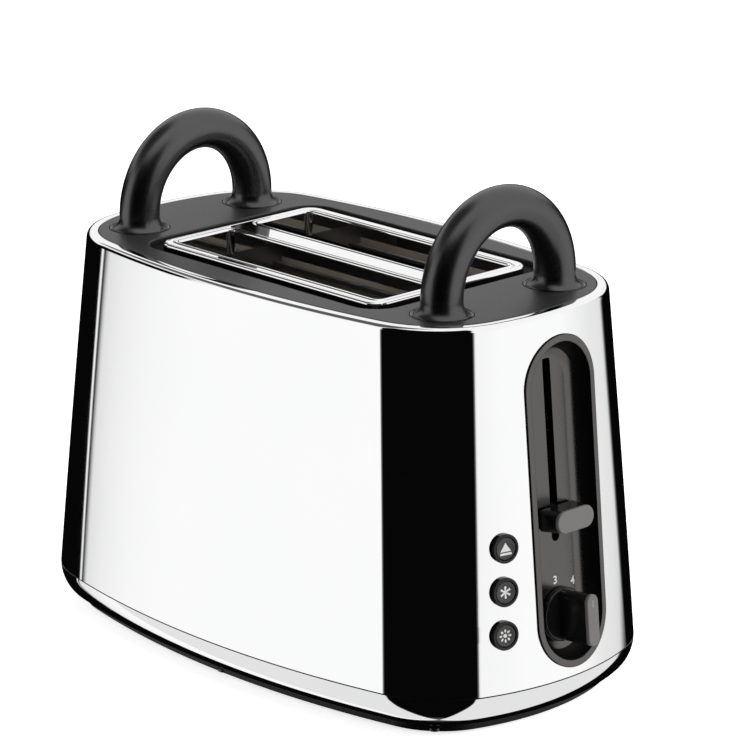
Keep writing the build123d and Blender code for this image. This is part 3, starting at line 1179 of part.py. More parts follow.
# Main board standing on the base, with its relay, transformer and capacitor
with BuildPart() as main_board:
    with BuildSketch(Plane.YZ.offset(MAIN_BOARD_X)):
        with Locations((MAIN_BOARD_Y, (MAIN_BOARD_TOP + BASE_TOP) / 2)):
            Rectangle(MAIN_BOARD_WIDTH, MAIN_BOARD_TOP - BASE_TOP)
    extrude(amount=BOARD_SHEET)
main_board.part.label = "main_board"
export_step(main_board.part, "parts/main_board.step")

with BuildPart() as board_parts:
    with BuildSketch(Plane.YZ.offset(MAIN_BOARD_X)):
        with Locations((BOARD_PARTS_Y, RELAY_MIDDLE)):
            Rectangle(RELAY_WIDTH, RELAY_HEIGHT)
        with Locations((BOARD_PARTS_Y, TRANSFORMER_MIDDLE)):
            Rectangle(TRANSFORMER_WIDTH, TRANSFORMER_HEIGHT)
        with Locations((BOARD_PARTS_Y, CAPACITOR_MIDDLE)):
            Circle(CAPACITOR_RADIUS)
    extrude(amount=-BOARD_PARTS_DEPTH)
board_parts.part.label = "board_parts"
export_step(board_parts.part, "parts/board_parts.step")

# Crumb tray: folded sheet pan that slides out of the rear, and its curved pull
TRAY_BOTTOM = BASE_TOP + TRAY_LIFT
with BuildPart() as crumb_tray:
    with BuildSketch(Plane.XY.offset(TRAY_BOTTOM)):
        with Locations(((TRAY_FRONT + TRAY_REAR) / 2, 0)):
            Rectangle(TRAY_FRONT - TRAY_REAR, TRAY_WIDTH)
    extrude(amount=TRAY_WALL_HEIGHT)
    fillet(crumb_tray.edges().filter_by(Axis.Z).group_by(Axis.X)[-1], TRAY_WALL_HEIGHT)
    offset(openings=crumb_tray.faces().sort_by(Axis.Z)[-1], amount=-TRAY_SHEET)
crumb_tray.part.label = "crumb_tray"
export_step(crumb_tray.part, "parts/crumb_tray.step")

pull_outline = plan_face(SEAM_PLAN, -TRAY_PULL_PROUD)
with BuildPart() as pull_zone:
    with BuildSketch(Plane.XY.offset(TRAY_BOTTOM)):
        with Locations((TRAY_REAR, 0)):
            Rectangle(SEAM_LENGTH / 2, TRAY_FASCIA_WIDTH, align=(Align.MAX, Align.CENTER))
    extrude(amount=TRAY_FASCIA_HEIGHT)
with BuildPart() as pull_lip:
    with BuildSketch(Plane.XY.offset(TRAY_BOTTOM + (TRAY_FASCIA_HEIGHT - TRAY_PULL_THICKNESS) / 2)):
        add(pull_outline)
        with Locations((TRAY_REAR, 0)):
            Rectangle(
                SEAM_LENGTH / 2, TRAY_PULL_WIDTH, align=(Align.MAX, Align.CENTER), mode=Mode.INTERSECT
            )
    extrude(amount=TRAY_PULL_THICKNESS)
    fillet(pull_lip.edges().group_by(Axis.X)[0], TRAY_PULL_EDGE)
with BuildPart() as tray_pull:
    add(skirt_outer)
    add(pull_zone.part, mode=Mode.INTERSECT)
    add(pull_lip.part)
tray_pull.part.label = "tray_pull"
export_step(tray_pull.part, "parts/tray_pull.step")
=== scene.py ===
"""Dressed model of a long two-slot toaster with arched carry handles, built round its fixed frame."""

import logging
import math
from dataclasses import dataclass, field
from enum import Enum
from functools import lru_cache
from typing import Callable, Sequence

import bmesh
import bpy
from mathutils import Matrix, Vector
from mathutils.geometry import delaunay_2d_cdt


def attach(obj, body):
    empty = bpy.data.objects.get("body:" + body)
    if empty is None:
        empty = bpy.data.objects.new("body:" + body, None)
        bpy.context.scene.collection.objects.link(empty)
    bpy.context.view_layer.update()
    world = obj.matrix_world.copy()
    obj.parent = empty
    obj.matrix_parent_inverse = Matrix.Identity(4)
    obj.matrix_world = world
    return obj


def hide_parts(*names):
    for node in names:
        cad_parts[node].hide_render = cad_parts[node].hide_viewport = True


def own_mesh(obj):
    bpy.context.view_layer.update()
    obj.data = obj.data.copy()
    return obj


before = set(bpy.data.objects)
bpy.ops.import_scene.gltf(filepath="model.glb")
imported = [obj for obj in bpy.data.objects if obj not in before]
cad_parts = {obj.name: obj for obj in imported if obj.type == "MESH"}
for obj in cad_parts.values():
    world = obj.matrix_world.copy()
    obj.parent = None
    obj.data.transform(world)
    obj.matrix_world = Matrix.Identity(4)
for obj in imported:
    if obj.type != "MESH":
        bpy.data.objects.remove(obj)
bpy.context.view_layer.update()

LOG = logging.getLogger("toaster")
MM = 0.001
HALF_TURN = math.pi
FULL_TURN = 2 * math.pi
WHOLE_ROUND = 12.0
MERGE_DISTANCE = 1e-6
SHARP_ANGLE = 50.0
NOISE_LOW = 0.3
NOISE_HIGH = 0.7

Pair = tuple[float, float]


class Slot(Enum):
    """Material slots of the record, passed along with new pieces; their finish comes from Finish."""

    STEEL = "polished_steel"
    SATIN = "satin_black"
    GLOSS = "gloss_black"
    GREY = "grey_plastic"
    SHEET = "sheet_steel"
    RUBBER = "rubber"


class Body(Enum):
    """Rigid bodies that new pieces ride on."""

    HOUSING = "housing"
    CARRIAGE = "carriage"
    KNOB = "knob"
    EJECT = "eject"
    DEFROST = "defrost"
    REHEAT = "reheat"


class Icon(Enum):
    """Control symbols on the buttons."""

    EJECT = "eject"
    DEFROST = "defrost"
    REHEAT = "reheat"


# Outlines


def arc(centre: Pair, radius: float, start: float, stop: float, count: int) -> list[Pair]:
    """Points on an arc.

    Args:
        centre: Middle of the arc.
        radius: Its radius.
        start: First angle in degrees.
        stop: Last angle in degrees.
        count: Number of points, both ends included.

    Returns:
        The points in order.
    """
    turns = [math.radians(start + (stop - start) * i / (count - 1)) for i in range(count)]
    return [(centre[0] + radius * math.cos(t), centre[1] + radius * math.sin(t)) for t in turns]


def rounded_rectangle(length: float, width: float, radius: float, per_corner: int = 9) -> list[Pair]:
    """Counter-clockwise rounded rectangle round the origin.

    Args:
        length: Overall size along the first axis.
        width: Overall size along the second axis.
        radius: Corner radius.
        per_corner: Points on each corner.

    Returns:
        The outline's points.
    """
    x, y = length / 2 - radius, width / 2 - radius
    outline: list[Pair] = []
    for sx, sy, start in ((1, 1, 0), (-1, 1, 90), (-1, -1, 180), (1, -1, 270)):
        outline += arc((sx * x, sy * y), radius, start, start + 90, per_corner)
    return outline


def stadium(length: float, width: float, per_end: int = 24) -> list[Pair]:
    """Counter-clockwise slot shape that stands along the second axis.

    Args:
        length: Overall size along the second axis.
        width: Overall size along the first axis.
        per_end: Points on each half circle.

    Returns:
        The outline's points.
    """
    reach = (length - width) / 2
    return arc((0, reach), width / 2, 0, 180, per_end) + arc((0, -reach), width / 2, 180, 360, per_end)


def circle(radius: float, count: int = 48) -> list[Pair]:
    """Counter-clockwise circle of evenly spaced points."""
    return arc((0, 0), radius, 0, 360, count + 1)[:-1]


def inside(point: Pair, outline: Sequence[Pair]) -> bool:
    """Whether a point lies inside a closed outline.

    Args:
        point: The point.
        outline: The outline's points in order.

    Returns:
        True where it lies inside.
    """
    x, y = point
    odd = False
    for (x1, y1), (x2, y2) in zip(outline, (*outline[1:], outline[0])):
        if (y1 > y) != (y2 > y) and x < (x2 - x1) * (y - y1) / (y2 - y1) + x1:
            odd = not odd
    return odd


# Housing form


@dataclass(frozen=True)
class PlanSizes:
    """Sizes of the housing's plan outline at one height, in millimetres.

    The outline is symmetric. Each quarter has an arc for the end, one for the corner and one for the side.
    """

    half_length: float
    half_width: float
    end_radius: float
    side_radius: float
    corner_radius: float

    def values(self) -> tuple[float, ...]:
        """The five sizes in order."""
        return (self.half_length, self.half_width, self.end_radius, self.side_radius, self.corner_radius)


@dataclass(frozen=True)
class Form:
    """Tapered housing between the seam and the rim, in millimetres.

    Attributes:
        rim: Plan sizes at the rim.
        seam: Plan sizes at the seam; the sizes between change evenly with height.
        end_parts: Steps on half an end, for the points round the outline.
        corner_parts: Steps on a corner.
        side_parts: Steps on half a side.
        control_end: First and last place that are looked through for the control end.
    """

    rim_height: float = 190.0
    seam_height: float = 21.2
    rim: PlanSizes = PlanSizes(134.6, 77.7, 161.0, 538.0, 48.0)
    seam: PlanSizes = PlanSizes(151.9, 90.6, 134.0, 465.0, 50.0)
    end_parts: int = 14
    corner_parts: int = 16
    side_parts: int = 12
    control_end: Pair = (3.6, 8.4)

    def sizes(self, height: float, inset: float = 0.0) -> tuple[float, ...]:
        """Plan sizes at a height, inset from the outer face.

        Args:
            height: Height above the table.
            inset: Distance inwards from the outer face.

        Returns:
            The five sizes in the order of PlanSizes.
        """
        share = (self.rim_height - height) / (self.rim_height - self.seam_height)
        share = min(share, 1.0)
        pairs = zip(self.rim.values(), self.seam.values())
        return tuple(top + (low - top) * share - inset for top, low in pairs)

    @lru_cache(maxsize=None)
    def arcs(self, height: float, inset: float) -> tuple[tuple[Pair, float, float, float], ...]:
        """End, corner and side arcs of the first quadrant, each tangent to the next.

        Args:
            height: Height above the table.
            inset: Distance inwards from the outer face.

        Returns:
            For each arc its middle, its radius and its two angles.
        """
        half_length, half_width, end_radius, side_radius, corner_radius = self.sizes(height, inset)
        end = Vector((half_length - end_radius, 0))
        side = Vector((0, half_width - side_radius))
        end_reach, side_reach = end_radius - corner_radius, side_radius - corner_radius
        span = (side - end).length
        along = (span**2 + end_reach**2 - side_reach**2) / (2 * span)
        across = math.sqrt(end_reach**2 - along**2)
        toward = (side - end) / span
        corner = end + toward * along + Vector((-toward.y, toward.x)) * across
        end_angle = math.atan2(corner.y - end.y, corner.x - end.x)
        side_angle = math.atan2(corner.y - side.y, corner.x - side.x)
        return (
            ((end.x, end.y), end_radius, 0.0, end_angle),
            ((corner.x, corner.y), corner_radius, end_angle, side_angle),
            ((side.x, side.y), side_radius, side_angle, HALF_TURN / 2),
        )

    def point(self, place: float, height: float, inset: float = 0.0) -> Vector:
        """Point on the outline.

        Args:
            place: 0 to 12 round the outline, counter-clockwise from the middle of the rear end.
            height: Height above the table.
            inset: Distance inwards from the outer face.

        Returns:
            The point in millimetres.
        """
        quarter = min(int(place // 3), 3)
        within = place - 3 * quarter
        within = within if quarter % 2 == 0 else 3 - within
        sx, sy = ((-1, -1), (1, -1), (1, 1), (-1, 1))[quarter]
        number = min(int(within), 2)
        centre, radius, start, stop = self.arcs(height, inset)[number]
        turn = start + (stop - start) * (within - number)
        return Vector((
            sx * (centre[0] + radius * math.cos(turn)),
            sy * (centre[1] + radius * math.sin(turn)),
            height,
        ))

    def normal(self, place: float, height: float) -> Vector:
        """Outward direction of the wall.

        Args:
            place: Place round the outline, from 0 to 12.
            height: Height above the table.

        Returns:
            A vector of length 1.
        """
        step, rise = 0.001, 0.5
        before, after = max(place - step, 0.0), min(place + step, WHOLE_ROUND)
        along = self.point(after, height) - self.point(before, height)
        low, high = max(height - rise, self.seam_height), min(height + rise, self.rim_height)
        up = self.point(place, high) - self.point(place, low)
        return along.cross(up).normalized()

    def places(self) -> list[float]:
        """Places round the outline, closer together on the corners.

        Returns:
            Places from 0 up to 12, without the last, which is the first again.
        """
        parts = (self.end_parts, self.corner_parts, self.side_parts)
        quarter = [n + i / parts[n] for n in range(3) for i in range(parts[n])]
        found: list[float] = []
        for number in range(4):
            if number % 2 == 0:
                found += [3 * number + w for w in quarter]
            else:
                found += [3 * number + 3 - w for w in reversed([*quarter[1:], 3.0])]
        return found

    def outline(self, height: float, inset: float = 0.0, level: float | None = None) -> list[Vector]:
        """Points round the outline, moved to another level where one is given.

        Args:
            height: Height that the plan sizes are taken at.
            inset: Distance inwards from the outer face.
            level: Height that the points are moved to.

        Returns:
            The points in order.
        """
        points = [self.point(place, height, inset) for place in self.places()]
        if level is not None:
            for point in points:
                point.z = level
        return points

    def place_of(self, y: float, height: float) -> float:
        """Place on the control end where the outline has a sideways distance.

        Args:
            y: Sideways distance from the middle.
            height: Height above the table.

        Returns:
            The place, found by halving.
        """
        low, high = self.control_end
        for _ in range(40):
            middle = (low + high) / 2
            if self.point(middle, height).y < y:
                low = middle
            else:
                high = middle
        return (low + high) / 2

    def end_x(self, height: float, y: float = 0.0) -> float:
        """Where the control end's outer face lies."""
        half_length, _, radius, _, _ = self.sizes(height)
        return half_length - radius + math.sqrt(radius**2 - y**2)

    @property
    def tilt(self) -> float:
        """Lean of the end walls from upright."""
        return math.atan2(self.seam.half_length - self.rim.half_length, self.rim_height - self.seam_height)


FORM = Form()


@dataclass(frozen=True)
class WallPlace:
    """A place on the control end, square to its middle, or turned to follow the wall's curve."""

    y: float
    height: float
    turned: bool = False

    @property
    def axes(self) -> tuple[Vector, Vector, Vector, Vector]:
        """Directions at the place.

        Returns:
            The origin, and the directions across the wall, up the wall and outwards.
        """
        radius = FORM.sizes(self.height)[2]
        turn = math.asin(self.y / radius) if self.turned else 0.0
        tilt = FORM.tilt
        across = Vector((-math.sin(turn), math.cos(turn), 0))
        out = Vector((math.cos(turn) * math.cos(tilt), math.sin(turn) * math.cos(tilt), math.sin(tilt)))
        origin = Vector((FORM.end_x(self.height, self.y if self.turned else 0.0), self.y, self.height))
        return origin, across, out.cross(across), out

    def points(self, outline: Sequence[Pair], out: float = 0.0) -> list[Vector]:
        """An outline laid on this place, moved outwards by a distance."""
        origin, across, up, outward = self.axes
        return [origin + across * s + up * t + outward * out for s, t in outline]

    def on_wall(self, outline: Sequence[Pair], proud: float = 0.0) -> list[Vector]:
        """An outline laid on the curved wall itself.

        Args:
            outline: Points across and up from the place.
            proud: Distance outwards from the wall.

        Returns:
            The points in millimetres.
        """
        origin, across, up, outward = self.axes
        found = []
        for s, t in outline:
            reach = 0.0
            for _ in range(4):
                point = origin + across * s + up * t + outward * reach
                reach += (FORM.end_x(point.z, point.y) - point.x) / outward.x
            found.append(origin + across * s + up * t + outward * (reach + proud))
        return found


BUTTON_PLACES = (WallPlace(-36.5, 48.4, turned=True), WallPlace(-35.3, 68.4, turned=True),
                 WallPlace(-34.1, 88.4, turned=True))


# Mesh work


class Solid:
    """Gathers the rings and faces of one piece, in millimetres, and makes its object."""

    def __init__(self) -> None:
        """Starts an empty piece."""
        self.bm = bmesh.new()

    def ring(self, points: Sequence[Vector]) -> list[bmesh.types.BMVert]:
        """Adds points as one ring of vertices."""
        return [self.bm.verts.new(Vector(p) * MM) for p in points]

    def band(self, first: Sequence, second: Sequence) -> None:
        """Joins two rings with a band of faces.

        Args:
            first: Vertices of one ring.
            second: Vertices of the other, as many as in the first.
        """
        count = len(first)
        for i in range(count):
            j = (i + 1) % count
            self.bm.faces.new((first[i], first[j], second[j], second[i]))

    def loft(self, rings: Sequence[Sequence[Vector]], closed: bool = False) -> list[list]:
        """Joins rings of points in order.

        Args:
            rings: Rings of points, all of one length.
            closed: Whether the last ring joins the first.

        Returns:
            The rings of vertices.
        """
        made = [self.ring(points) for points in rings]
        for first, second in zip(made, made[1:]):
            self.band(first, second)
        if closed:
            self.band(made[-1], made[0])
        return made

    def flat(self, *rings: Sequence) -> None:
        """Fills the flat area between an outer ring and the rings inside it.

        Args:
            *rings: Vertices of each ring.
        """
        edges = []
        for ring in rings:
            for first, second in zip(ring, (*ring[1:], ring[0])):
                edge = self.bm.edges.get((first, second))
                edges.append(edge or self.bm.edges.new((first, second)))
        bmesh.ops.triangle_fill(self.bm, use_beauty=True, use_dissolve=False, edges=edges)

    def turned(self, profile: Sequence[Pair], place: Callable[[Sequence[Pair], float], list[Vector]],
               count: int = 48) -> None:
        """Turns a closed profile of radius and height into a ring-shaped solid."""
        self.loft([place(circle(radius, count), height) for radius, height in profile], closed=True)

    def plug(self, profile: Sequence[Pair], place: Callable[[Sequence[Pair], float], list[Vector]],
             count: int = 48) -> None:
        """Turns an open profile and closes both of its ends.

        Args:
            profile: Radius and height of each ring.
            place: Gives the points of an outline at a height.
            count: Points on each ring.
        """
        rings = self.loft([place(circle(radius, count), height) for radius, height in profile])
        self.flat(rings[0])
        self.flat(rings[-1])

    def mesh(self, name: str, sharp: float = 32.0) -> bpy.types.Mesh:
        """Makes the mesh, with normals outwards.

        Args:
            name: Name of the mesh.
            sharp: Angle in degrees past which an edge stays sharp.

        Returns:
            The mesh, in metres.
        """
        bmesh.ops.remove_doubles(self.bm, verts=self.bm.verts, dist=MERGE_DISTANCE)
        bmesh.ops.recalc_face_normals(self.bm, faces=self.bm.faces)
        mesh = bpy.data.meshes.new(name)
        self.bm.to_mesh(mesh)
        self.bm.free()
        mesh.shade_smooth()
        mesh.set_sharp_from_angle(angle=math.radians(sharp))
        return mesh


def add_piece(name: str, mesh: bpy.types.Mesh, finish: "Finish", body: str, slot: Slot,
              nodes: Sequence[str] = ()) -> bpy.types.Object:
    """Puts a finished mesh in the scene and ties it to the frame.

    Args:
        name: Name of the piece.
        mesh: Its mesh, in place.
        finish: Its finish.
        body: The body it rides on.
        slot: The record's material slot; not used.
        nodes: CAD nodes it stands for.

    Returns:
        The new object.
    """
    piece = bpy.data.objects.new(name, mesh)
    bpy.context.scene.collection.objects.link(piece)
    mesh.materials.clear()
    mesh.materials.append(finish.material())
    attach(piece, body)
    if nodes:
        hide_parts(*nodes)
    LOG.info("piece %s: %d faces", name, len(mesh.polygons))
    return piece


def weigh_normals(piece: bpy.types.Object) -> None:
    """Keeps flat faces flat beside rounded edges.

    Args:
        piece: The piece whose normals are weighed by the size of its faces.
    """
    modifier = piece.modifiers.new("flat_faces", "WEIGHTED_NORMAL")
    modifier.keep_sharp = True
    modifier.weight = 80


# Node work


class Tree:
    """Short ways to add and join nodes in a node tree."""

    def __init__(self, tree: bpy.types.NodeTree) -> None:
        """Keeps the tree that the nodes go into."""
        self.tree = tree

    def add(self, kind: str, inputs: dict | None = None, **settings: object) -> bpy.types.Node:
        """Adds a node.

        Args:
            kind: Blender's name of the node.
            inputs: Values or sockets for its inputs, by name or number.
            **settings: The node's own settings.

        Returns:
            The new node.
        """
        node = self.tree.nodes.new(kind)
        for name, value in settings.items():
            setattr(node, name, value)
        for name, value in (inputs or {}).items():
            socket = node.inputs[name]
            if isinstance(value, bpy.types.NodeSocket):
                self.tree.links.new(value, socket)
            else:
                socket.default_value = value
        return node

    def join(self, start: bpy.types.NodeSocket, end: bpy.types.NodeSocket) -> None:
        """Links two sockets."""
        self.tree.links.new(start, end)


# Finishes


def grain_group() -> bpy.types.NodeTree:
    """Group that gives a broad uneven value and a fine grain from object coordinates.

    Returns:
        A shader node group with inputs Fine Scale, Broad Scale and Stretch, and outputs Fine and Broad.
    """
    found = bpy.data.node_groups.get("surface_grain")
    if found:
        return found
    group = bpy.data.node_groups.new("surface_grain", "ShaderNodeTree")
    sockets = group.interface
    sockets.new_socket("Fine Scale", in_out="INPUT", socket_type="NodeSocketFloat").default_value = 900
    sockets.new_socket("Broad Scale", in_out="INPUT", socket_type="NodeSocketFloat").default_value = 12
    sockets.new_socket("Stretch", in_out="INPUT", socket_type="NodeSocketVector").default_value = (1, 1, 1)
    sockets.new_socket("Fine", in_out="OUTPUT", socket_type="NodeSocketFloat")
    sockets.new_socket("Broad", in_out="OUTPUT", socket_type="NodeSocketFloat")
    tree = Tree(group)
    given = tree.add("NodeGroupInput")
    place = tree.add("ShaderNodeTexCoord")
    drawn = tree.add("ShaderNodeVectorMath", {0: place.outputs["Object"], 1: given.outputs["Stretch"]},
                     operation="MULTIPLY")
    fine = tree.add("ShaderNodeTexNoise", {"Vector": drawn.outputs[0], "Scale": given.outputs["Fine Scale"],
                                           "Detail": 3.0})
    broad = tree.add("ShaderNodeTexNoise", {"Vector": place.outputs["Object"],
                                            "Scale": given.outputs["Broad Scale"], "Detail": 4.0})
    made = tree.add("NodeGroupOutput")
    tree.join(fine.outputs["Fac"], made.inputs["Fine"])
    tree.join(broad.outputs["Fac"], made.inputs["Broad"])
    return group


@dataclass(frozen=True)
class Finish:
    """Surface of a piece: colour, metal or not, gloss and grain.

    Attributes:
        colour: One colour of the surface.
        second: The colour that it drifts to over broad patches.
        roughness: Least and most roughness, which vary with the fine grain.
        fine_scale: Scale of the fine grain.
        broad_scale: Scale of the broad patches.
        stretch: How much closer the grain lies along each axis.
        bump: Strength of the relief; 0 leaves it out.
        bump_depth: Height of the relief in metres.
        specular: Level of the plain reflection, where 0.5 is that of ordinary plastic.
    """

    name: str
    colour: tuple[float, float, float]
    second: tuple[float, float, float]
    metallic: float = 0.0
    roughness: tuple[float, float] = (0.3, 0.4)
    fine_scale: float = 900.0
    broad_scale: float = 14.0
    stretch: tuple[float, float, float] = (1.0, 1.0, 1.0)
    bump: float = 0.05
    bump_depth: float = 0.00005
    coat: float = 0.0
    coat_roughness: float = 0.08
    specular: float = 0.5

    def material(self) -> bpy.types.Material:
        """The material, made once.

        Returns:
            A node material whose colour, roughness and relief vary over the surface.
        """
        found = bpy.data.materials.get(f"{self.name}_finish")
        if found:
            return found
        made = bpy.data.materials.new(f"{self.name}_finish")
        made.use_nodes = True
        made.diffuse_color = (*self.colour, 1.0)
        tree = Tree(made.node_tree)
        shader = made.node_tree.nodes["Principled BSDF"]
        shader.inputs["Metallic"].default_value = self.metallic
        shader.inputs["Specular IOR Level"].default_value = self.specular
        shader.inputs["Coat Weight"].default_value = self.coat
        shader.inputs["Coat Roughness"].default_value = self.coat_roughness
        grain = tree.add("ShaderNodeGroup", node_tree=grain_group())
        grain.inputs["Fine Scale"].default_value = self.fine_scale
        grain.inputs["Broad Scale"].default_value = self.broad_scale
        grain.inputs["Stretch"].default_value = self.stretch
        spread = tree.add("ShaderNodeMapRange", {"Value": grain.outputs["Broad"], "From Min": NOISE_LOW,
                                                 "From Max": NOISE_HIGH})
        colour = tree.add("ShaderNodeMix", {0: spread.outputs["Result"]}, data_type="RGBA")
        colour.inputs[6].default_value = (*self.colour, 1.0)
        colour.inputs[7].default_value = (*self.second, 1.0)
        tree.join(colour.outputs[2], shader.inputs["Base Color"])
        gloss = tree.add("ShaderNodeMapRange", {"Value": grain.outputs["Fine"], "From Min": NOISE_LOW,
                                                "From Max": NOISE_HIGH, "To Min": self.roughness[0],
                                                "To Max": self.roughness[1]})
        tree.join(gloss.outputs["Result"], shader.inputs["Roughness"])
        if self.bump:
            relief = tree.add("ShaderNodeBump", {"Strength": self.bump, "Distance": self.bump_depth,
                                                 "Height": grain.outputs["Fine"]})
            tree.join(relief.outputs["Normal"], shader.inputs["Normal"])
        return made


POLISHED = Finish("polished_steel", (0.955, 0.955, 0.955), (0.94, 0.942, 0.945), metallic=1.0,
                  roughness=(0.015, 0.03), fine_scale=60.0, bump=0.0)
SATIN = Finish("satin_black", (0.006, 0.0058, 0.0058), (0.009, 0.0087, 0.0087), roughness=(0.26, 0.33),
               fine_scale=1500.0, bump=0.08, specular=0.2)
HANDLE_BLACK = Finish("handle_black", (0.1, 0.098, 0.098), (0.11, 0.108, 0.107), metallic=1.0,
                      roughness=(0.27, 0.34), fine_scale=1500.0, bump=0.06)
DECK_SATIN = Finish("deck_satin", (0.021, 0.02, 0.02), (0.025, 0.024, 0.024), roughness=(0.36, 0.44),
                    fine_scale=1500.0, bump=0.1)
GLOSS = Finish("gloss_black", (0.008, 0.008, 0.008), (0.011, 0.011, 0.011), roughness=(0.1, 0.16),
               bump=0.0, coat=0.1, specular=0.3)
CHARCOAL = Finish("charcoal_cap", (0.045, 0.044, 0.044), (0.052, 0.05, 0.05), roughness=(0.3, 0.38),
                  fine_scale=1800.0, bump=0.05)
GREY = Finish("grey_lacquer", (0.118, 0.114, 0.11), (0.128, 0.124, 0.12), metallic=1.0,
              roughness=(0.22, 0.29), fine_scale=1600.0, bump=0.04)
PAD_GREY = Finish("pad_grey", (0.17, 0.164, 0.161), (0.182, 0.176, 0.172), roughness=(0.3, 0.38),
                  fine_scale=1600.0, bump=0.05)
DIAL_BLACK = Finish("dial_black", (0.008, 0.008, 0.009), (0.011, 0.011, 0.012), roughness=(0.2, 0.27),
                    fine_scale=1500.0, bump=0.04)
# Near-black painted shade for the recess's sides and the lever's slot.
RECESS_SHADE = Finish("recess_painted_shade", (0.004, 0.004, 0.004), (0.006, 0.006, 0.006), roughness=(0.4, 0.5),
                     bump=0.04, specular=0.1)
# Matt black that stands for painted shade: in the deck's trench, on the frame's outer side, and as a line
# round the recess's flange.
SHADE_BLACK = Finish("painted_shade_black", (0.006, 0.006, 0.006), (0.009, 0.009, 0.009), roughness=(0.5, 0.6),
                bump=0.08, specular=0.04)
DARK_SCREW = Finish("dark_screw", (0.12, 0.12, 0.125), (0.09, 0.09, 0.095), metallic=1.0,
                    roughness=(0.3, 0.42), fine_scale=400.0, bump=0.08)
WHITE_PRINT = Finish("white_print", (0.9, 0.9, 0.89), (0.87, 0.87, 0.86), roughness=(0.4, 0.5), bump=0.0)
FAINT_PRINT = Finish("faint_print", (0.34, 0.33, 0.33), (0.3, 0.29, 0.29), roughness=(0.4, 0.5), bump=0.0)
SHEET = Finish("sheet_steel", (0.42, 0.42, 0.425), (0.36, 0.36, 0.365), metallic=1.0, roughness=(0.28, 0.4),
               fine_scale=120.0, stretch=(1.0, 1.0, 14.0), bump=0.12)
GUIDE_STEEL = Finish("warm_guide_steel", (0.36, 0.345, 0.335), (0.27, 0.257, 0.25), metallic=1.0,
                     roughness=(0.32, 0.45), fine_scale=150.0, stretch=(1.0, 1.0, 10.0), bump=0.1)
BRIGHT_STEEL = Finish("bright_steel", (0.7, 0.7, 0.71), (0.62, 0.62, 0.63), metallic=1.0,
                      roughness=(0.14, 0.22), fine_scale=200.0, bump=0.04)
MICA = Finish("mica_board", (0.42, 0.37, 0.3), (0.3, 0.26, 0.2), roughness=(0.35, 0.55), fine_scale=500.0,
              broad_scale=40.0, bump=0.12)
WIRE = Finish("heating_wire", (0.23, 0.2, 0.18), (0.17, 0.15, 0.14), metallic=1.0, roughness=(0.3, 0.42),
              bump=0.05)
COPPER = Finish("wound_copper", (0.6, 0.28, 0.13), (0.48, 0.21, 0.1), metallic=1.0, roughness=(0.2, 0.3),
                fine_scale=700.0, stretch=(0.1, 0.1, 4.0), bump=0.35)
BOARD = Finish("circuit_board", (0.02, 0.13, 0.05), (0.03, 0.16, 0.06), roughness=(0.25, 0.35), bump=0.04)
MOULDED = Finish("moulded_plastic", (0.5, 0.49, 0.45), (0.46, 0.45, 0.41), roughness=(0.4, 0.5), bump=0.06)
RUBBER = Finish("black_rubber", (0.014, 0.014, 0.014), (0.02, 0.02, 0.02), roughness=(0.6, 0.75), bump=0.15)


# Geometry node work


def scatter_tree() -> bpy.types.NodeTree:
    """Tree that places a piece at each vertex and joins the copies.

    Returns:
        A geometry node group with inputs Geometry, Piece and Finish.
    """
    found = bpy.data.node_groups.get("place_copies")
    if found:
        return found
    group = bpy.data.node_groups.new("place_copies", "GeometryNodeTree")
    sockets = group.interface
    sockets.new_socket("Geometry", in_out="INPUT", socket_type="NodeSocketGeometry")
    sockets.new_socket("Piece", in_out="INPUT", socket_type="NodeSocketObject")
    sockets.new_socket("Finish", in_out="INPUT", socket_type="NodeSocketMaterial")
    sockets.new_socket("Geometry", in_out="OUTPUT", socket_type="NodeSocketGeometry")
    tree = Tree(group)
    given = tree.add("NodeGroupInput")
    piece = tree.add("GeometryNodeObjectInfo", {"Object": given.outputs["Piece"]})
    copies = tree.add("GeometryNodeInstanceOnPoints", {
        "Points": given.outputs["Geometry"],
        "Instance": piece.outputs["Geometry"],
    })
    real = tree.add("GeometryNodeRealizeInstances", {"Geometry": copies.outputs["Instances"]})
    dressed = tree.add("GeometryNodeSetMaterial", {"Geometry": real.outputs["Geometry"],
                                                   "Material": given.outputs["Finish"]})
    made = tree.add("NodeGroupOutput")
    tree.join(dressed.outputs["Geometry"], made.inputs["Geometry"])
    return group


def coil_tree() -> bpy.types.NodeTree:
    """Tree that winds a round wire into a spring at each vertex.

    Returns:
        A geometry node group with inputs Geometry, Turns, Length, Coil Radius, Wire Radius and Finish.
    """
    group = bpy.data.node_groups.new("wind_springs", "GeometryNodeTree")
    sockets = group.interface
    sockets.new_socket("Geometry", in_out="INPUT", socket_type="NodeSocketGeometry")
    for name in ("Turns", "Length", "Coil Radius", "Wire Radius"):
        sockets.new_socket(name, in_out="INPUT", socket_type="NodeSocketFloat")
    sockets.new_socket("Finish", in_out="INPUT", socket_type="NodeSocketMaterial")
    sockets.new_socket("Geometry", in_out="OUTPUT", socket_type="NodeSocketGeometry")
    tree = Tree(group)
    given = tree.add("NodeGroupInput")
    line = tree.add("GeometryNodeCurveSpiral", {
        "Resolution": 14,
        "Rotations": given.outputs["Turns"],
        "Start Radius": given.outputs["Coil Radius"],
        "End Radius": given.outputs["Coil Radius"],
        "Height": given.outputs["Length"],
    })
    section = tree.add("GeometryNodeCurvePrimitiveCircle", {"Resolution": 8,
                                                            "Radius": given.outputs["Wire Radius"]})
    wire = tree.add("GeometryNodeCurveToMesh", {"Curve": line.outputs["Curve"],
                                                "Profile Curve": section.outputs["Curve"], "Fill Caps": True})
    copies = tree.add("GeometryNodeInstanceOnPoints", {"Points": given.outputs["Geometry"],
                                                       "Instance": wire.outputs["Mesh"]})
    real = tree.add("GeometryNodeRealizeInstances", {"Geometry": copies.outputs["Instances"]})
    dressed = tree.add("GeometryNodeSetMaterial", {"Geometry": real.outputs["Geometry"],
                                                   "Material": given.outputs["Finish"]})
    made = tree.add("NodeGroupOutput")
    tree.join(dressed.outputs["Geometry"], made.inputs["Geometry"])
    return group


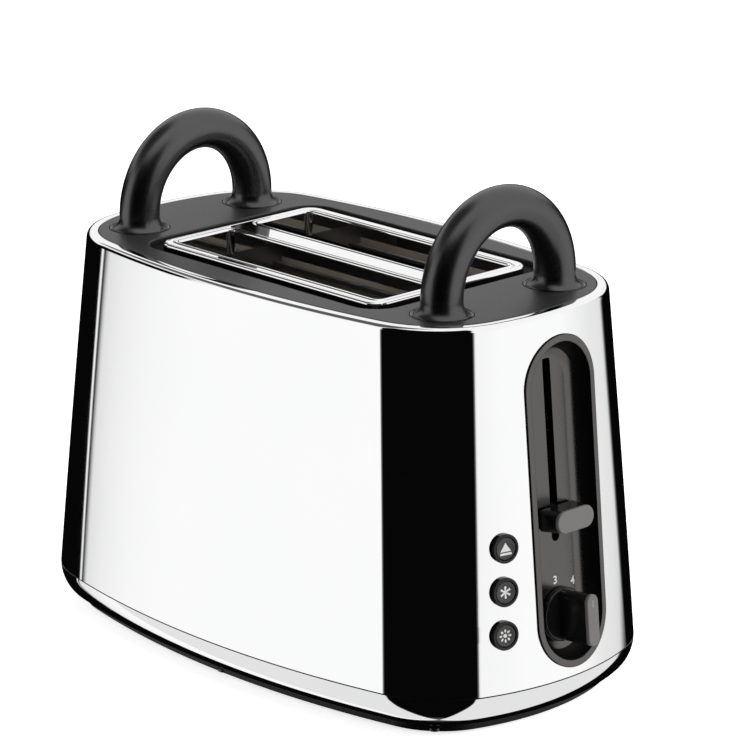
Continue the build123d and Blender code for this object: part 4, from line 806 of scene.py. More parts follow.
def run_tree(name: str, group: bpy.types.NodeTree, places: Sequence[Vector],
             values: dict[str, object]) -> bpy.types.Mesh:
    """Runs a geometry node tree on a set of vertices.

    Args:
        name: Name of the mesh.
        group: The tree.
        places: Vertices in millimetres.
        values: The tree's inputs by name.

    Returns:
        A plain mesh.
    """
    seed = bpy.data.meshes.new(name + "_places")
    seed.from_pydata([tuple(Vector(p) * MM) for p in places], [], [])
    holder = bpy.data.objects.new(name + "_holder", seed)
    bpy.context.scene.collection.objects.link(holder)
    modifier = holder.modifiers.new("copies", "NODES")
    modifier.node_group = group
    for item in group.interface.items_tree:
        if item.item_type == "SOCKET" and item.in_out == "INPUT" and item.name in values:
            modifier[item.identifier] = values[item.name]
    bpy.context.view_layer.update()
    ready = holder.evaluated_get(bpy.context.evaluated_depsgraph_get())
    mesh = bpy.data.meshes.new_from_object(ready)
    mesh.name = name
    bpy.data.objects.remove(holder)
    return mesh


def copies_of(name: str, mesh: bpy.types.Mesh, places: Sequence[Vector], finish: Finish) -> bpy.types.Mesh:
    """One mesh with a copy of a small piece at each place.

    Args:
        name: Name of the mesh.
        mesh: The small piece, round the origin.
        places: Where the copies go, in millimetres.
        finish: Their finish.

    Returns:
        A plain mesh.
    """
    model = bpy.data.objects.new(name + "_model", mesh)
    bpy.context.scene.collection.objects.link(model)
    made = run_tree(name, scatter_tree(), places, {"Piece": model, "Finish": finish.material()})
    bpy.data.objects.remove(model)
    return made


# Sub-assemblies


@dataclass
class Housing:
    """Polished shell and skirt, in millimetres.

    Attributes:
        hole_trim: How much shorter the hole in the wall is than the recess.
        sheet_stretch: Millimetres that one place counts for on the unrolled wall.
        clear_band: Distance round an opening that keeps no vertex of the wall's grid.
        skirt_tuck: How far the skirt's full quarter ellipse would reach inwards.
        skirt_turn: Angle in degrees at which the skirt ends.
    """

    wall: float = 1.0
    lip_width: float = 5.5
    lip_radius: float = 2.4
    lip_thickness: float = 1.2
    lip_edge: float = 0.55
    wall_rows: int = 20
    sheet_stretch: float = 30.0
    clear_band: float = 2.2
    recess_y: float = 5.0
    recess_bottom: float = 25.0
    recess_top: float = 179.0
    hole_width: float = 43.9
    hole_trim: float = 2.7
    button_hole: float = 6.05
    skirt_top: float = 20.6
    skirt_bottom: float = 4.0
    skirt_tuck: float = 16.0
    skirt_turn: float = 75.0
    skirt_wall: float = 2.0
    skirt_flange: float = 6.5
    tray_opening_width: float = 99.0
    tray_opening_top: float = 12.6
    tray_opening_x: Pair = (-200.0, -100.0)

    def holes(self) -> list[list[Vector]]:
        """Openings in the control end, on its outer face.

        Returns:
            The outlines of the recess's hole and of the three button holes.
        """
        middle = (self.recess_top + self.recess_bottom) / 2
        height = (self.recess_top - self.recess_bottom) / math.cos(FORM.tilt) - self.hole_trim
        found = [WallPlace(self.recess_y, middle).on_wall(stadium(height, self.hole_width, 28))]
        found += [place.on_wall(circle(self.button_hole, 36)) for place in BUTTON_PLACES]
        return found

    def wall_sheet(self) -> tuple[list[Pair], list[tuple[int, int, int]], list[list[int]]]:
        """Unrolled wall with its openings.

        Returns:
            Places and heights of the vertices, the triangles, and the vertices round each opening.
        """
        top = FORM.rim_height - self.lip_radius
        rows = [FORM.seam_height + (top - FORM.seam_height) * i / self.wall_rows
                for i in range(self.wall_rows + 1)]
        columns = [*FORM.places(), WHOLE_ROUND]
        openings = []
        for ring in self.holes():
            openings.append([(FORM.place_of(p.y, p.z), p.z) for p in ring])
        stretch = self.sheet_stretch
        points: list[Pair] = []
        for place in columns:
            for row in rows:
                near = any(
                    inside((place, row), o)
                    or min(math.hypot((place - a) * stretch, row - b) for a, b in o) < self.clear_band
                    for o in openings
                )
                if not near:
                    points.append((place, row))
        loops: list[list[int]] = []
        edges: list[tuple[int, int]] = []
        for opening in openings:
            first = len(points)
            points += opening
            loop = list(range(first, len(points)))
            edges += list(zip(loop, [*loop[1:], loop[0]]))
            loops.append(loop)
        flat = [Vector((place * stretch, height)) for place, height in points]
        out = delaunay_2d_cdt(flat, edges, [], 0, MERGE_DISTANCE)
        triangles = []
        for face in out[2]:
            a, b, c = face
            centre = (sum(out[0][i].x for i in face) / 3 / stretch, sum(out[0][i].y for i in face) / 3)
            if not any(inside(centre, o) for o in openings):
                triangles.append((a, b, c))
        where = [(v.x / stretch, v.y) for v in out[0]]
        index = {old: new for new, olds in enumerate(out[3]) for old in olds}
        return where, triangles, [[index[i] for i in loop] for loop in loops]

    def shell(self) -> bpy.types.Object:
        """Tapered wall with a rolled lip and openings for the controls.

        Returns:
            The finished piece.
        """
        where, triangles, loops = self.wall_sheet()
        solid = Solid()
        layer = solid.bm.verts.layers.float.new("wall_place")
        outer = solid.ring([FORM.point(place, height) for place, height in where])
        for vertex, (place, _) in zip(outer, where):
            vertex[layer] = place + 1
        inner = solid.ring([FORM.point(place, height, self.wall) for place, height in where])
        for a, b, c in triangles:
            solid.bm.faces.new((outer[a], outer[b], outer[c]))
            solid.bm.faces.new((inner[c], inner[b], inner[a]))
        for loop in loops:
            solid.band([outer[i] for i in loop], [inner[i] for i in loop])
        top = FORM.rim_height
        turn = arc((self.lip_radius, top - self.lip_radius), self.lip_radius, 180, 90, 10)
        edge = self.lip_edge
        profile = [*turn, *arc((self.lip_width - edge, top - edge), edge, 90, 0, 5)]
        profile += [(self.lip_width, top - self.lip_thickness), (self.wall, top - self.lip_thickness)]
        rings = [FORM.outline(top, inset, level) for inset, level in profile[1:]]
        start = FORM.outline(top - self.lip_radius, 0.0)
        end = FORM.outline(top - self.lip_radius, self.wall)
        lip = solid.loft([start, *rings, end])
        foot = solid.loft([FORM.outline(FORM.seam_height, self.wall), FORM.outline(FORM.seam_height)])
        for ring in (lip[0], foot[1]):
            for vertex, place in zip(ring, FORM.places()):
                vertex[layer] = place + 1
        for vertex in solid.bm.verts:
            vertex[layer] -= 1
        mesh = solid.mesh("polished_shell", SHARP_ANGLE)
        self.set_wall_normals(mesh)
        return add_piece("polished_shell", mesh, POLISHED, Body.HOUSING.value, Slot.STEEL, ["body_shell"])

    def set_wall_normals(self, mesh: bpy.types.Mesh) -> None:
        """Gives the outer wall the true directions of its curve, so that it reflects without ripples.

        Args:
            mesh: The shell's mesh, whose attribute wall_place marks the outer wall.
        """
        top = FORM.rim_height - self.lip_radius
        places = mesh.attributes["wall_place"].data
        custom = [Vector((0, 0, 0))] * len(mesh.loops)
        cache: dict[int, Vector] = {}
        for face in mesh.polygons:
            corners = [mesh.loops[loop].vertex_index for loop in face.loop_indices]
            if any(places[v].value < 0 or mesh.vertices[v].co.z / MM > top + 0.01 for v in corners):
                continue
            for loop, vertex in zip(face.loop_indices, corners):
                if vertex not in cache:
                    cache[vertex] = FORM.normal(places[vertex].value, mesh.vertices[vertex].co.z / MM)
                custom[loop] = cache[vertex]
        mesh.attributes.remove(mesh.attributes["wall_place"])
        mesh.normals_split_custom_set(custom)

    def skirt(self) -> bpy.types.Object:
        """Rounded ring below the seam, open at the rear for the crumb tray.

        Returns:
            The finished piece.
        """
        drop = (self.skirt_top - self.skirt_bottom) / math.sin(math.radians(self.skirt_turn))

        def side(wall: float, turn: float) -> Pair:
            """Inset and height on the skirt's quarter ellipse.

            Args:
                wall: Distance inwards from the outer face.
                turn: Angle down from the seam in degrees.

            Returns:
                The inset and the height.
            """
            angle = math.radians(turn)
            inset = self.skirt_tuck - (self.skirt_tuck - wall) * math.cos(angle)
            return inset, self.skirt_top - (drop - wall) * math.sin(angle)

        turns = [self.skirt_turn * i / 14 for i in range(15)]
        outside = [side(0.0, turn) for turn in turns]
        within = [side(self.skirt_wall, turn) for turn in turns]
        foot = outside[-1][0] + self.skirt_flange
        level = self.skirt_bottom + self.skirt_wall
        profile = [*outside, (foot, self.skirt_bottom), (foot, level)]
        profile += [p for p in reversed(within) if p[1] > level]
        rings = [FORM.outline(FORM.seam_height, inset, height) for inset, height in profile]
        solid = Solid()
        solid.loft(rings, closed=True)
        mesh = solid.mesh("polished_skirt", SHARP_ANGLE)
        piece = bpy.data.objects.new("skirt_blank", mesh)
        cutter = Solid()
        rear, front = self.tray_opening_x
        half = self.tray_opening_width / 2
        corners = [(rear, -half), (front, -half), (front, half), (rear, half)]
        levels = (0.0, self.tray_opening_top)
        rings = cutter.loft([[Vector((x, y, z)) for x, y in corners] for z in levels])
        cutter.flat(rings[0])
        cutter.flat(rings[1])
        tool = bpy.data.objects.new("skirt_cutter", cutter.mesh("skirt_cutter"))
        for item in (piece, tool):
            bpy.context.scene.collection.objects.link(item)
        cut = piece.modifiers.new("tray_opening", "BOOLEAN")
        cut.operation, cut.solver, cut.object = "DIFFERENCE", "EXACT", tool
        ready = piece.evaluated_get(bpy.context.evaluated_depsgraph_get())
        made = bpy.data.meshes.new_from_object(ready)
        for item in (piece, tool):
            bpy.data.objects.remove(item)
        made.shade_smooth()
        made.set_sharp_from_angle(angle=math.radians(SHARP_ANGLE))
        return add_piece("polished_skirt", made, POLISHED, Body.HOUSING.value, Slot.STEEL, ["base_skirt"])

    def build(self) -> None:
        """Makes the shell and the skirt."""
        self.shell()
        self.skirt()


@dataclass
class Deck:
    """Dark deck inside the lip, with the polished frame round the slots and the collars of the feet.

    Attributes:
        plate_drop: How far the frame's flat part lies below its beads.
        shaded_side: Width of the frame's edge that counts as its outer side, whose faces down in the trench
            take painted shade.
        painted_shade_depth: Depth below the deck's top from which its faces are matt black, as painted shade.
    """

    top: float = 189.9
    underside: float = 184.4
    edge_inset: float = 5.65
    edge_round: float = 0.6
    trench_floor: float = 187.4
    trench_margin: float = 6.5
    trench_edge: float = 0.8
    painted_shade_depth: float = 0.9
    slot_length: float = 137.0
    slot_width: float = 34.7
    slot_corner: float = 3.0
    slot_y: float = 25.65
    slot_gap: float = 1.6
    frame_length: float = 149.0
    frame_width: float = 101.0
    frame_corner: float = 8.0
    frame_top: float = 190.8
    plate_drop: float = 0.2
    sheet: float = 1.0
    collar_bottom: float = 178.3
    bead_radius: float = 1.3
    rim_radius: float = 1.4
    shaded_side: float = 1.5
    handle_x: float = 102.6
    handle_y: float = 36.6
    recess_radius: float = 14.7
    recess_floor: float = 188.7
    collar_top: float = 190.15
    screw_hole: float = 2.5

    def slot_ring(self, reach: float, level: float, side: int) -> list[Vector]:
        """Outline round one slot, at a distance from its edge."""
        outline = rounded_rectangle(self.slot_length + 2 * reach, self.slot_width + 2 * reach,
                                    self.slot_corner + reach)
        return [Vector((x, y + side * self.slot_y, level)) for x, y in outline]

    def rim_ring(self, inset: float, level: float) -> list[Vector]:
        """Outline of the frame, inset from its edge."""
        outline = rounded_rectangle(self.frame_length - 2 * inset, self.frame_width - 2 * inset,
                                    self.frame_corner - inset)
        return [Vector((x, y, level)) for x, y in outline]

    def slot_frame(self) -> bpy.types.Object:
        """Pressed frame with a rolled rim, a bead round each slot and a deep collar; its outer side down in
        the trench is painted matt black as shade.

        Returns:
            The finished piece.
        """
        solid = Solid()
        plate = self.frame_top - self.plate_drop
        under = plate - self.sheet
        rim = [(0.0, self.trench_floor)]
        rim += [(self.rim_radius + x, self.frame_top - self.rim_radius + z)
                for x, z in arc((0, 0), self.rim_radius, 180, 80, 10)]
        rim += [(self.rim_radius + 0.5, plate), (self.rim_radius + 0.6, plate)]
        outer = solid.loft([self.rim_ring(inset, level) for inset, level in rim])
        inner = solid.loft([self.rim_ring(inset, level) for inset, level in
                            ((0.0, self.trench_floor), (self.sheet, self.trench_floor),
                             (self.sheet, under), (self.sheet + 0.6, under))])
        tops, bottoms = [outer[-1]], [inner[-1]]
        centre = self.frame_top - self.bead_radius
        bead = [(self.bead_radius + x, centre + z) for x, z in arc((0, 0), self.bead_radius, 180, 15, 12)]
        for side in (-1, 1):
            profile = [(0.0, self.collar_bottom), *bead]
            profile += [(2.64, centre + 0.2), (2.75, centre + 0.3), (2.88, plate - 0.35),
                        (3.05, plate - 0.06), (3.22, plate), (3.3, plate)]
            inside_up = solid.loft([self.slot_ring(reach, level, side) for reach, level in profile])
            back = solid.loft([self.slot_ring(reach, level, side) for reach, level in
                               ((0.0, self.collar_bottom), (self.sheet, self.collar_bottom),
                                (self.sheet, under), (self.sheet + 0.6, under))])
            tops.append(inside_up[-1])
            bottoms.append(back[-1])
        solid.flat(*tops)
        solid.flat(*bottoms)
        mesh = solid.mesh("slot_surround", 60.0)
        piece = add_piece("slot_surround", mesh, POLISHED, Body.HOUSING.value, Slot.STEEL, ["slot_frame"])
        weigh_normals(piece)
        # Painted shade: the frame's outer side and underside down in the trench take matt black.
        piece.data.materials.append(SHADE_BLACK.material())
        below = (self.frame_top - self.rim_radius + 0.01) * MM
        half_x = (self.frame_length / 2 - self.shaded_side) * MM
        half_y = (self.frame_width / 2 - self.shaded_side) * MM
        for face in piece.data.polygons:
            spots = [piece.data.vertices[number].co for number in face.vertices]
            if max(spot.z for spot in spots) < below and (
                    abs(face.center.x) > half_x or abs(face.center.y) > half_y):
                face.material_index = 1
        return piece

    def deck(self) -> bpy.types.Object:
        """Satin deck with a sunk field for the frame and a round seat for each handle foot; its sunk faces
        are painted matt black as shade.

        Returns:
            The finished piece.
        """
        solid = Solid()
        edge = arc((self.edge_round, self.top - self.edge_round), self.edge_round, 180, 90, 5)
        rim = FORM.rim_height
        rings = [FORM.outline(rim, self.edge_inset, self.underside)]
        rings += [FORM.outline(rim, self.edge_inset + inset, level) for inset, level in edge]
        outer = solid.loft(rings)
        length, width = self.frame_length + 2 * self.trench_margin, self.frame_width + 2 * self.trench_margin
        corner = self.frame_corner + self.trench_margin

        def field_ring(inset: float, level: float) -> list[Vector]:
            """Outline of the sunk field, inset from its edge."""
            outline = rounded_rectangle(length - 2 * inset, width - 2 * inset, corner - inset)
            return [Vector((x, y, level)) for x, y in outline]

        soft = self.trench_edge
        step = [(-soft + soft * math.sin(t), self.top - soft + soft * math.cos(t))
                for t in [HALF_TURN / 2 * i / 6 for i in range(7)]]
        field_rings = solid.loft([*[field_ring(inset, level) for inset, level in step],
                                  field_ring(0.0, self.trench_floor + 0.4),
                                  field_ring(0.15, self.trench_floor + 0.12),
                                  field_ring(0.4, self.trench_floor)])
        seats, bores = [], []
        for sx in (-1, 1):
            for sy in (-1, 1):
                where = Vector((sx * self.handle_x, sy * self.handle_y, 0))
                profile = [(self.recess_radius + 0.3, self.top), (self.recess_radius + 0.1, self.top - 0.1),
                           (self.recess_radius, self.top - 0.3), (self.recess_radius, self.recess_floor),
                           (self.screw_hole, self.recess_floor), (self.screw_hole, self.underside)]
                made = solid.loft([[where + Vector((x, y, level)) for x, y in circle(radius, 40)]
                                   for radius, level in profile])
                seats.append(made[0])
                bores.append(made[-1])
        solid.flat(outer[-1], field_rings[0], *seats)
        lips = []
        for side in (-1, 1):
            lips.append(solid.loft([self.slot_ring(self.slot_gap, self.trench_floor, side),
                                    self.slot_ring(self.slot_gap, self.underside, side)]))
        solid.flat(field_rings[-1], lips[0][0], lips[1][0])
        solid.flat(outer[0], lips[0][1], lips[1][1], *bores)
        mesh = solid.mesh("satin_deck", SHARP_ANGLE)
        piece = add_piece("satin_deck", mesh, DECK_SATIN, Body.HOUSING.value, Slot.SATIN, ["top_deck"])
        # Painted shade: the trench, the handle seats and the slot lips below this depth take matt black.
        piece.data.materials.append(SHADE_BLACK.material())
        sunk = (self.top - self.painted_shade_depth) * MM
        for face in piece.data.polygons:
            if all(piece.data.vertices[number].co.z < sunk for number in face.vertices):
                face.material_index = 1
        weigh_normals(piece)
        return piece

    def collars(self) -> bpy.types.Object:
        """Glossy ring in each handle seat, grooved round its top.

        Returns:
            The finished piece.
        """
        solid = Solid()
        top = self.collar_top
        profile = [(14.55, self.recess_floor), (14.55, top - 0.45), (14.42, top - 0.15), (14.15, top),
                   (13.85, top - 0.05), (13.7, top - 0.35), (13.5, top - 0.35), (13.35, top - 0.05),
                   (13.1, top), (12.8, top - 0.2), (12.75, self.recess_floor)]
        solid.turned(profile, lambda outline, z: [Vector((x, y, z)) for x, y in outline], 64)
        places = [Vector((sx * self.handle_x, sy * self.handle_y, 0)) for sx in (-1, 1) for sy in (-1, 1)]
        mesh = copies_of("foot_collars", solid.mesh("collar"), places, GLOSS)
        return add_piece("foot_collars", mesh, GLOSS, Body.HOUSING.value, Slot.GLOSS, ["handle_collars"])

    def build(self) -> None:
        """Makes the deck, the frame and the collars."""
        self.deck()
        self.slot_frame()
        self.collars()


@dataclass
class ArchHandle:
    """Carry handle: a round bar bent to a half circle on flared feet."""

    name: str
    node: str
    x: float
    reach: float = 36.6
    bar_radius: float = 9.7
    foot_radius: float = 12.6
    foot_edge: float = 0.3
    seat: float = 188.7
    foot_top: float = 189.9
    flare_top: float = 195.7
    spring: float = 196.2
    screw_hole: float = 2.5
    screw_depth: float = 14.1
    around: int = 64
    along: int = 72

    def leg(self) -> list[Pair]:
        """Profile of one leg, flared at its foot.

        Returns:
            Radius and height of each ring, from the seat up.
        """
        run = self.foot_radius - self.bar_radius
        rise = self.flare_top - self.foot_top
        bend = (run**2 + rise**2) / (2 * run)
        last = math.degrees(math.atan2(self.foot_top - self.flare_top,
                                       self.foot_radius - self.bar_radius - bend))
        flare = arc((self.bar_radius + bend, self.flare_top), bend, 360 + last, 180, 12)
        edge = self.foot_edge
        return [(self.foot_radius - edge, self.seat), (self.foot_radius, self.seat + edge), *flare]

    def build(self) -> bpy.types.Object:
        """Makes the handle.

        Returns:
            The finished piece.
        """
        rings = []
        legs = self.leg()
        for radius, height in legs:
            section = circle(radius, self.around)
            rings.append([Vector((self.x + x, -self.reach - y, height)) for x, y in section])
        for i in range(self.along + 1):
            turn = HALF_TURN * i / self.along
            middle = Vector((self.x, -self.reach * math.cos(turn), self.spring + self.reach * math.sin(turn)))
            out = Vector((0, -math.cos(turn), math.sin(turn)))
            section = circle(self.bar_radius, self.around)
            rings.append([middle + Vector((x, 0, 0)) + out * y for x, y in section])
        for radius, height in reversed(legs):
            section = circle(radius, self.around)
            rings.append([Vector((self.x + x, self.reach + y, height)) for x, y in section])
        solid = Solid()
        made = solid.loft(rings)
        for ring, y, sign in ((made[0], -self.reach, -1), (made[-1], self.reach, 1)):
            hole = [[Vector((self.x + a, y + sign * b, level)) for a, b in circle(self.screw_hole, 24)]
                    for level in (self.seat, self.seat + self.screw_depth)]
            bore = solid.loft(hole)
            solid.flat(ring, bore[0])
            solid.flat(bore[1])
        mesh = solid.mesh(self.name, SHARP_ANGLE)
        return add_piece(self.name, mesh, HANDLE_BLACK, Body.HOUSING.value, Slot.SATIN, [self.node])


@dataclass
class ControlRecess:
    """Moulded recess in the control end, with the lever's slot and the dial's numbers.

    Attributes:
        fillet: Radius between the floor and the side of the cavity.
        number_start: Angle of the first number in degrees; the others follow clockwise.
        number_weight: How much bolder the digits are drawn, in millimetres.
        painted_shade_facing: Faces that look outwards by less than this share take the side's finish, a
            painted shade of near-black on the walls, steep fillets and the lever's slot.
    """

    y: float = 5.0
    bottom: float = 25.0
    top: float = 179.0
    width: float = 46.6
    flange: float = 3.5
    proud: float = 0.8
    depth: float = 10.0
    floor: float = 2.5
    wall: float = 2.0
    fillet: float = 8.5
    lever_y: float = 5.6
    slot_width: float = 5.0
    slot_bottom: float = 82.0
    slot_top: float = 168.0
    knob_height: float = 47.9
    shaft_hole: float = 3.3
    numbers: tuple[str, ...] = ("1", "2", "3", "4", "5", "6")
    number_start: float = 181.0
    number_step: float = 42.0
    number_radius: float = 16.3
    number_size: float = 5.2
    number_weight: float = 0.13
    number_extrude: float = 0.04
    number_lift: float = 0.06
    painted_shade_facing: float = 0.8
    shade_line_reach: float = 0.14
    shade_line_proud: float = 0.52

    @property
    def place(self) -> WallPlace:
        """Middle of the recess."""
        return WallPlace(self.y, (self.top + self.bottom) / 2)

    @property
    def height(self) -> float:
        """Overall size up the wall."""
        return (self.top - self.bottom) / math.cos(FORM.tilt)

    def shift(self, y: float, height: float) -> Pair:
        """A place on the wall as across and up from the middle of the recess."""
        return y - self.y, (height - (self.top + self.bottom) / 2) / math.cos(FORM.tilt)

    def floor_rise(self, across: float, up: float) -> float:
        """How far the cavity's floor has curved up towards its side.

        Args:
            across: Distance across from the middle of the recess.
            up: Distance up from the middle of the recess.

        Returns:
            The rise above the flat part of the floor.
        """
        half = self.width / 2 - self.flange
        straight = self.height / 2 - self.flange - half
        past = math.hypot(across, max(abs(up) - straight, 0.0)) - (half - self.fillet)
        return 0.0 if past <= 0 else self.fillet - math.sqrt(max(self.fillet**2 - past**2, 0.0))

    def moved(self, outline: Sequence[Pair], shift: Pair) -> list[Pair]:
        """An outline moved across and up."""
        return [(s + shift[0], t + shift[1]) for s, t in outline]

    def build(self) -> bpy.types.Object:
        """Makes the recess, with painted shade on its sides and a black line of painted shade round its
        flange, and the numbers on its floor.

        Returns:
            The recess.
        """
        place, tall = self.place, self.height
        inner_width, inner_height = self.width - 2 * self.flange, tall - 2 * self.flange
        solid = Solid()

        def sized(grow: float) -> list[Pair]:
            """Outline of the cavity, grown by a distance."""
            return stadium(inner_height + 2 * grow, inner_width + 2 * grow, 32)

        edge, soft = 0.35, 0.8
        rings = [place.on_wall(sized(self.flange), 0.05)]
        for turn in range(0, 91, 30):
            angle = math.radians(turn)
            grow = self.flange - edge + edge * math.cos(angle)
            rings.append(place.on_wall(sized(grow), self.proud - edge + edge * math.sin(angle)))
        for turn in range(0, 91, 15):
            angle = math.radians(turn)
            rings.append(place.on_wall(sized(soft - soft * math.sin(angle)),
                                       self.proud - soft + soft * math.cos(angle)))
        start = -self.depth + self.fillet
        rings.append(place.points(sized(0.0), start + 0.02))
        for turn in range(0, 91, 9):
            angle = math.radians(turn)
            rings.append(place.points(sized(-self.fillet + self.fillet * math.cos(angle)),
                                      start - self.fillet * math.sin(angle)))
        made = solid.loft(rings)
        slot_middle = self.shift(self.lever_y, (self.slot_top + self.slot_bottom) / 2)
        slot_height = (self.slot_top - self.slot_bottom) / math.cos(FORM.tilt)
        slot = self.moved(stadium(slot_height, self.slot_width, 12), slot_middle)
        shaft = self.moved(circle(self.shaft_hole, 32), self.shift(self.lever_y, self.knob_height))
        back = -self.depth - self.floor
        through = solid.loft([place.points(slot, -self.depth), place.points(slot, back)])
        round_hole = solid.loft([place.points(shaft, -self.depth), place.points(shaft, back)])
        solid.flat(made[-1], through[0], round_hole[0])
        sleeve = solid.loft([place.on_wall(sized(self.flange), 0.05), place.on_wall(sized(self.wall), 0.05),
                             place.points(sized(self.wall), -3.0), place.points(sized(self.wall), back)])
        solid.flat(sleeve[-1], through[1], round_hole[1])
        mesh = solid.mesh("recess_moulding", SHARP_ANGLE)
        piece = add_piece("recess_moulding", mesh, GREY, Body.HOUSING.value, Slot.GREY, ["control_bezel"])
        weigh_normals(piece)
        # Painted shade: the cavity's sides, steep fillets and the lever's slot take near-black.
        piece.data.materials.append(RECESS_SHADE.material())
        out = place.axes[3]
        for side in piece.data.polygons:
            if abs(side.normal.dot(out)) < self.painted_shade_facing:
                side.material_index = 1
        self.flange_shade_line()
        self.dial_numbers()
        return piece

    def flange_shade_line(self) -> bpy.types.Object:
        """Thin black line of painted shade between the flange and the wall.

        Returns:
            The finished piece.
        """
        place, solid = self.place, Solid()
        tall, wide = self.height, self.width

        def ring(grow: float, proud: float) -> list[Vector]:
            """Outline of the flange, grown by a distance."""
            return place.on_wall(stadium(tall + 2 * grow, wide + 2 * grow, 40), proud)

        reach, proud = self.shade_line_reach, self.shade_line_proud
        solid.loft([ring(-1.2, 0.06), ring(reach, 0.06), ring(reach, proud - 0.1), ring(reach - 0.1, proud),
                    ring(-1.2, proud)], closed=True)
        return add_piece("recess_gasket", solid.mesh("recess_gasket", 40.0), SHADE_BLACK, Body.HOUSING.value,
                         Slot.RUBBER)

    def dial_numbers(self) -> bpy.types.Object:
        """Numbers round the dial, printed on the recess floor and curved up with it.

        Returns:
            The finished piece.
        """
        mesh = bpy.data.meshes.new("dial_numbers")
        joined = bmesh.new()
        origin, across, up, out = WallPlace(self.lever_y, self.knob_height).axes
        facing = Matrix((across, up, out)).transposed().to_4x4()
        for number, text in enumerate(self.numbers):
            turn = math.radians(self.number_start - self.number_step * number)
            curve = bpy.data.curves.new("digit", "FONT")
            curve.body, curve.size, curve.extrude = text, self.number_size * MM, self.number_extrude * MM
            curve.offset = self.number_weight * MM
            curve.align_x, curve.align_y = "CENTER", "CENTER"
            holder = bpy.data.objects.new("digit", curve)
            bpy.context.scene.collection.objects.link(holder)
            ready = holder.evaluated_get(bpy.context.evaluated_depsgraph_get())
            digit = bpy.data.meshes.new_from_object(ready)
            bpy.data.objects.remove(holder)
            s, t = self.number_radius * math.cos(turn), self.number_radius * math.sin(turn)
            mid_s, mid_t = self.shift(self.lever_y, self.knob_height)
            for vertex in digit.vertices:
                rise = self.floor_rise(mid_s + s + vertex.co.x / MM, mid_t + t + vertex.co.y / MM)
                vertex.co.z += MM * rise
            spot = origin + across * s + up * t - out * (self.depth - self.number_lift)
            digit.transform(Matrix.Translation(spot * MM) @ facing)
            joined.from_mesh(digit)
        joined.to_mesh(mesh)
        joined.free()
        return add_piece("dial_numbers", mesh, WHITE_PRINT, Body.HOUSING.value, Slot.GREY)


@dataclass
class Lever:
    """Lever block and its grey pad."""

    y: float = 5.6
    height: float = 94.0
    width: float = 23.8
    tall: float = 10.3
    corner: float = 2.0
    back: float = 8.5
    proud: float = 3.6
    pad: float = 1.6
    edge: float = 0.6

    def outline(self, inset: float, corner: float) -> list[Pair]:
        """Outline of the slab, inset from its edge, with corners up to a half circle."""
        width, tall = self.width - 2 * inset, self.tall - 2 * inset
        return rounded_rectangle(width, tall, min(corner, tall / 2 - 0.02), 10)

    def slab(self, profile: Sequence[tuple[float, float, float]], name: str, finish: Finish, slot: Slot,
             node: str) -> bpy.types.Object:
        """A slab lofted from its back to its face.

        Args:
            profile: Inset, corner radius and distance from the wall of each outline.
            name: Name of the piece.
            finish: Its finish.
            slot: The record's material slot.
            node: The CAD node that it stands for.

        Returns:
            The finished piece.
        """
        place = WallPlace(self.y, self.height)
        solid = Solid()
        rings = solid.loft([place.points(self.outline(inset, corner), out) for inset, corner, out in profile])
        solid.flat(rings[0])
        solid.flat(rings[-1])
        piece = add_piece(name, solid.mesh(name, SHARP_ANGLE), finish, Body.CARRIAGE.value, slot, [node])
        weigh_normals(piece)
        return piece

    def build(self) -> None:
        """Makes the block and its pad."""
        face, half = self.proud - self.pad, self.tall / 2
        turns = [math.radians(t) for t in range(0, 91, 18)]
        edge = self.edge
        block = [(edge - edge * math.sin(t), self.corner, -self.back + edge - edge * math.cos(t))
                 for t in turns]
        steps = 8
        for i in range(1, steps + 1):
            share = i / steps
            out = -self.back + edge + (face + self.back - edge) * share
            block.append((0.0, self.corner + (half - self.corner) * share, out))
        self.slab(block, "lever_block", DIAL_BLACK, Slot.SATIN, "lever_knob")
        pad = [(0.0, half, face)]
        pad += [(edge - edge * math.cos(t), half, self.proud - edge + edge * math.sin(t)) for t in turns]
        self.slab(pad, "lever_face", PAD_GREY, Slot.GREY, "lever_pad")


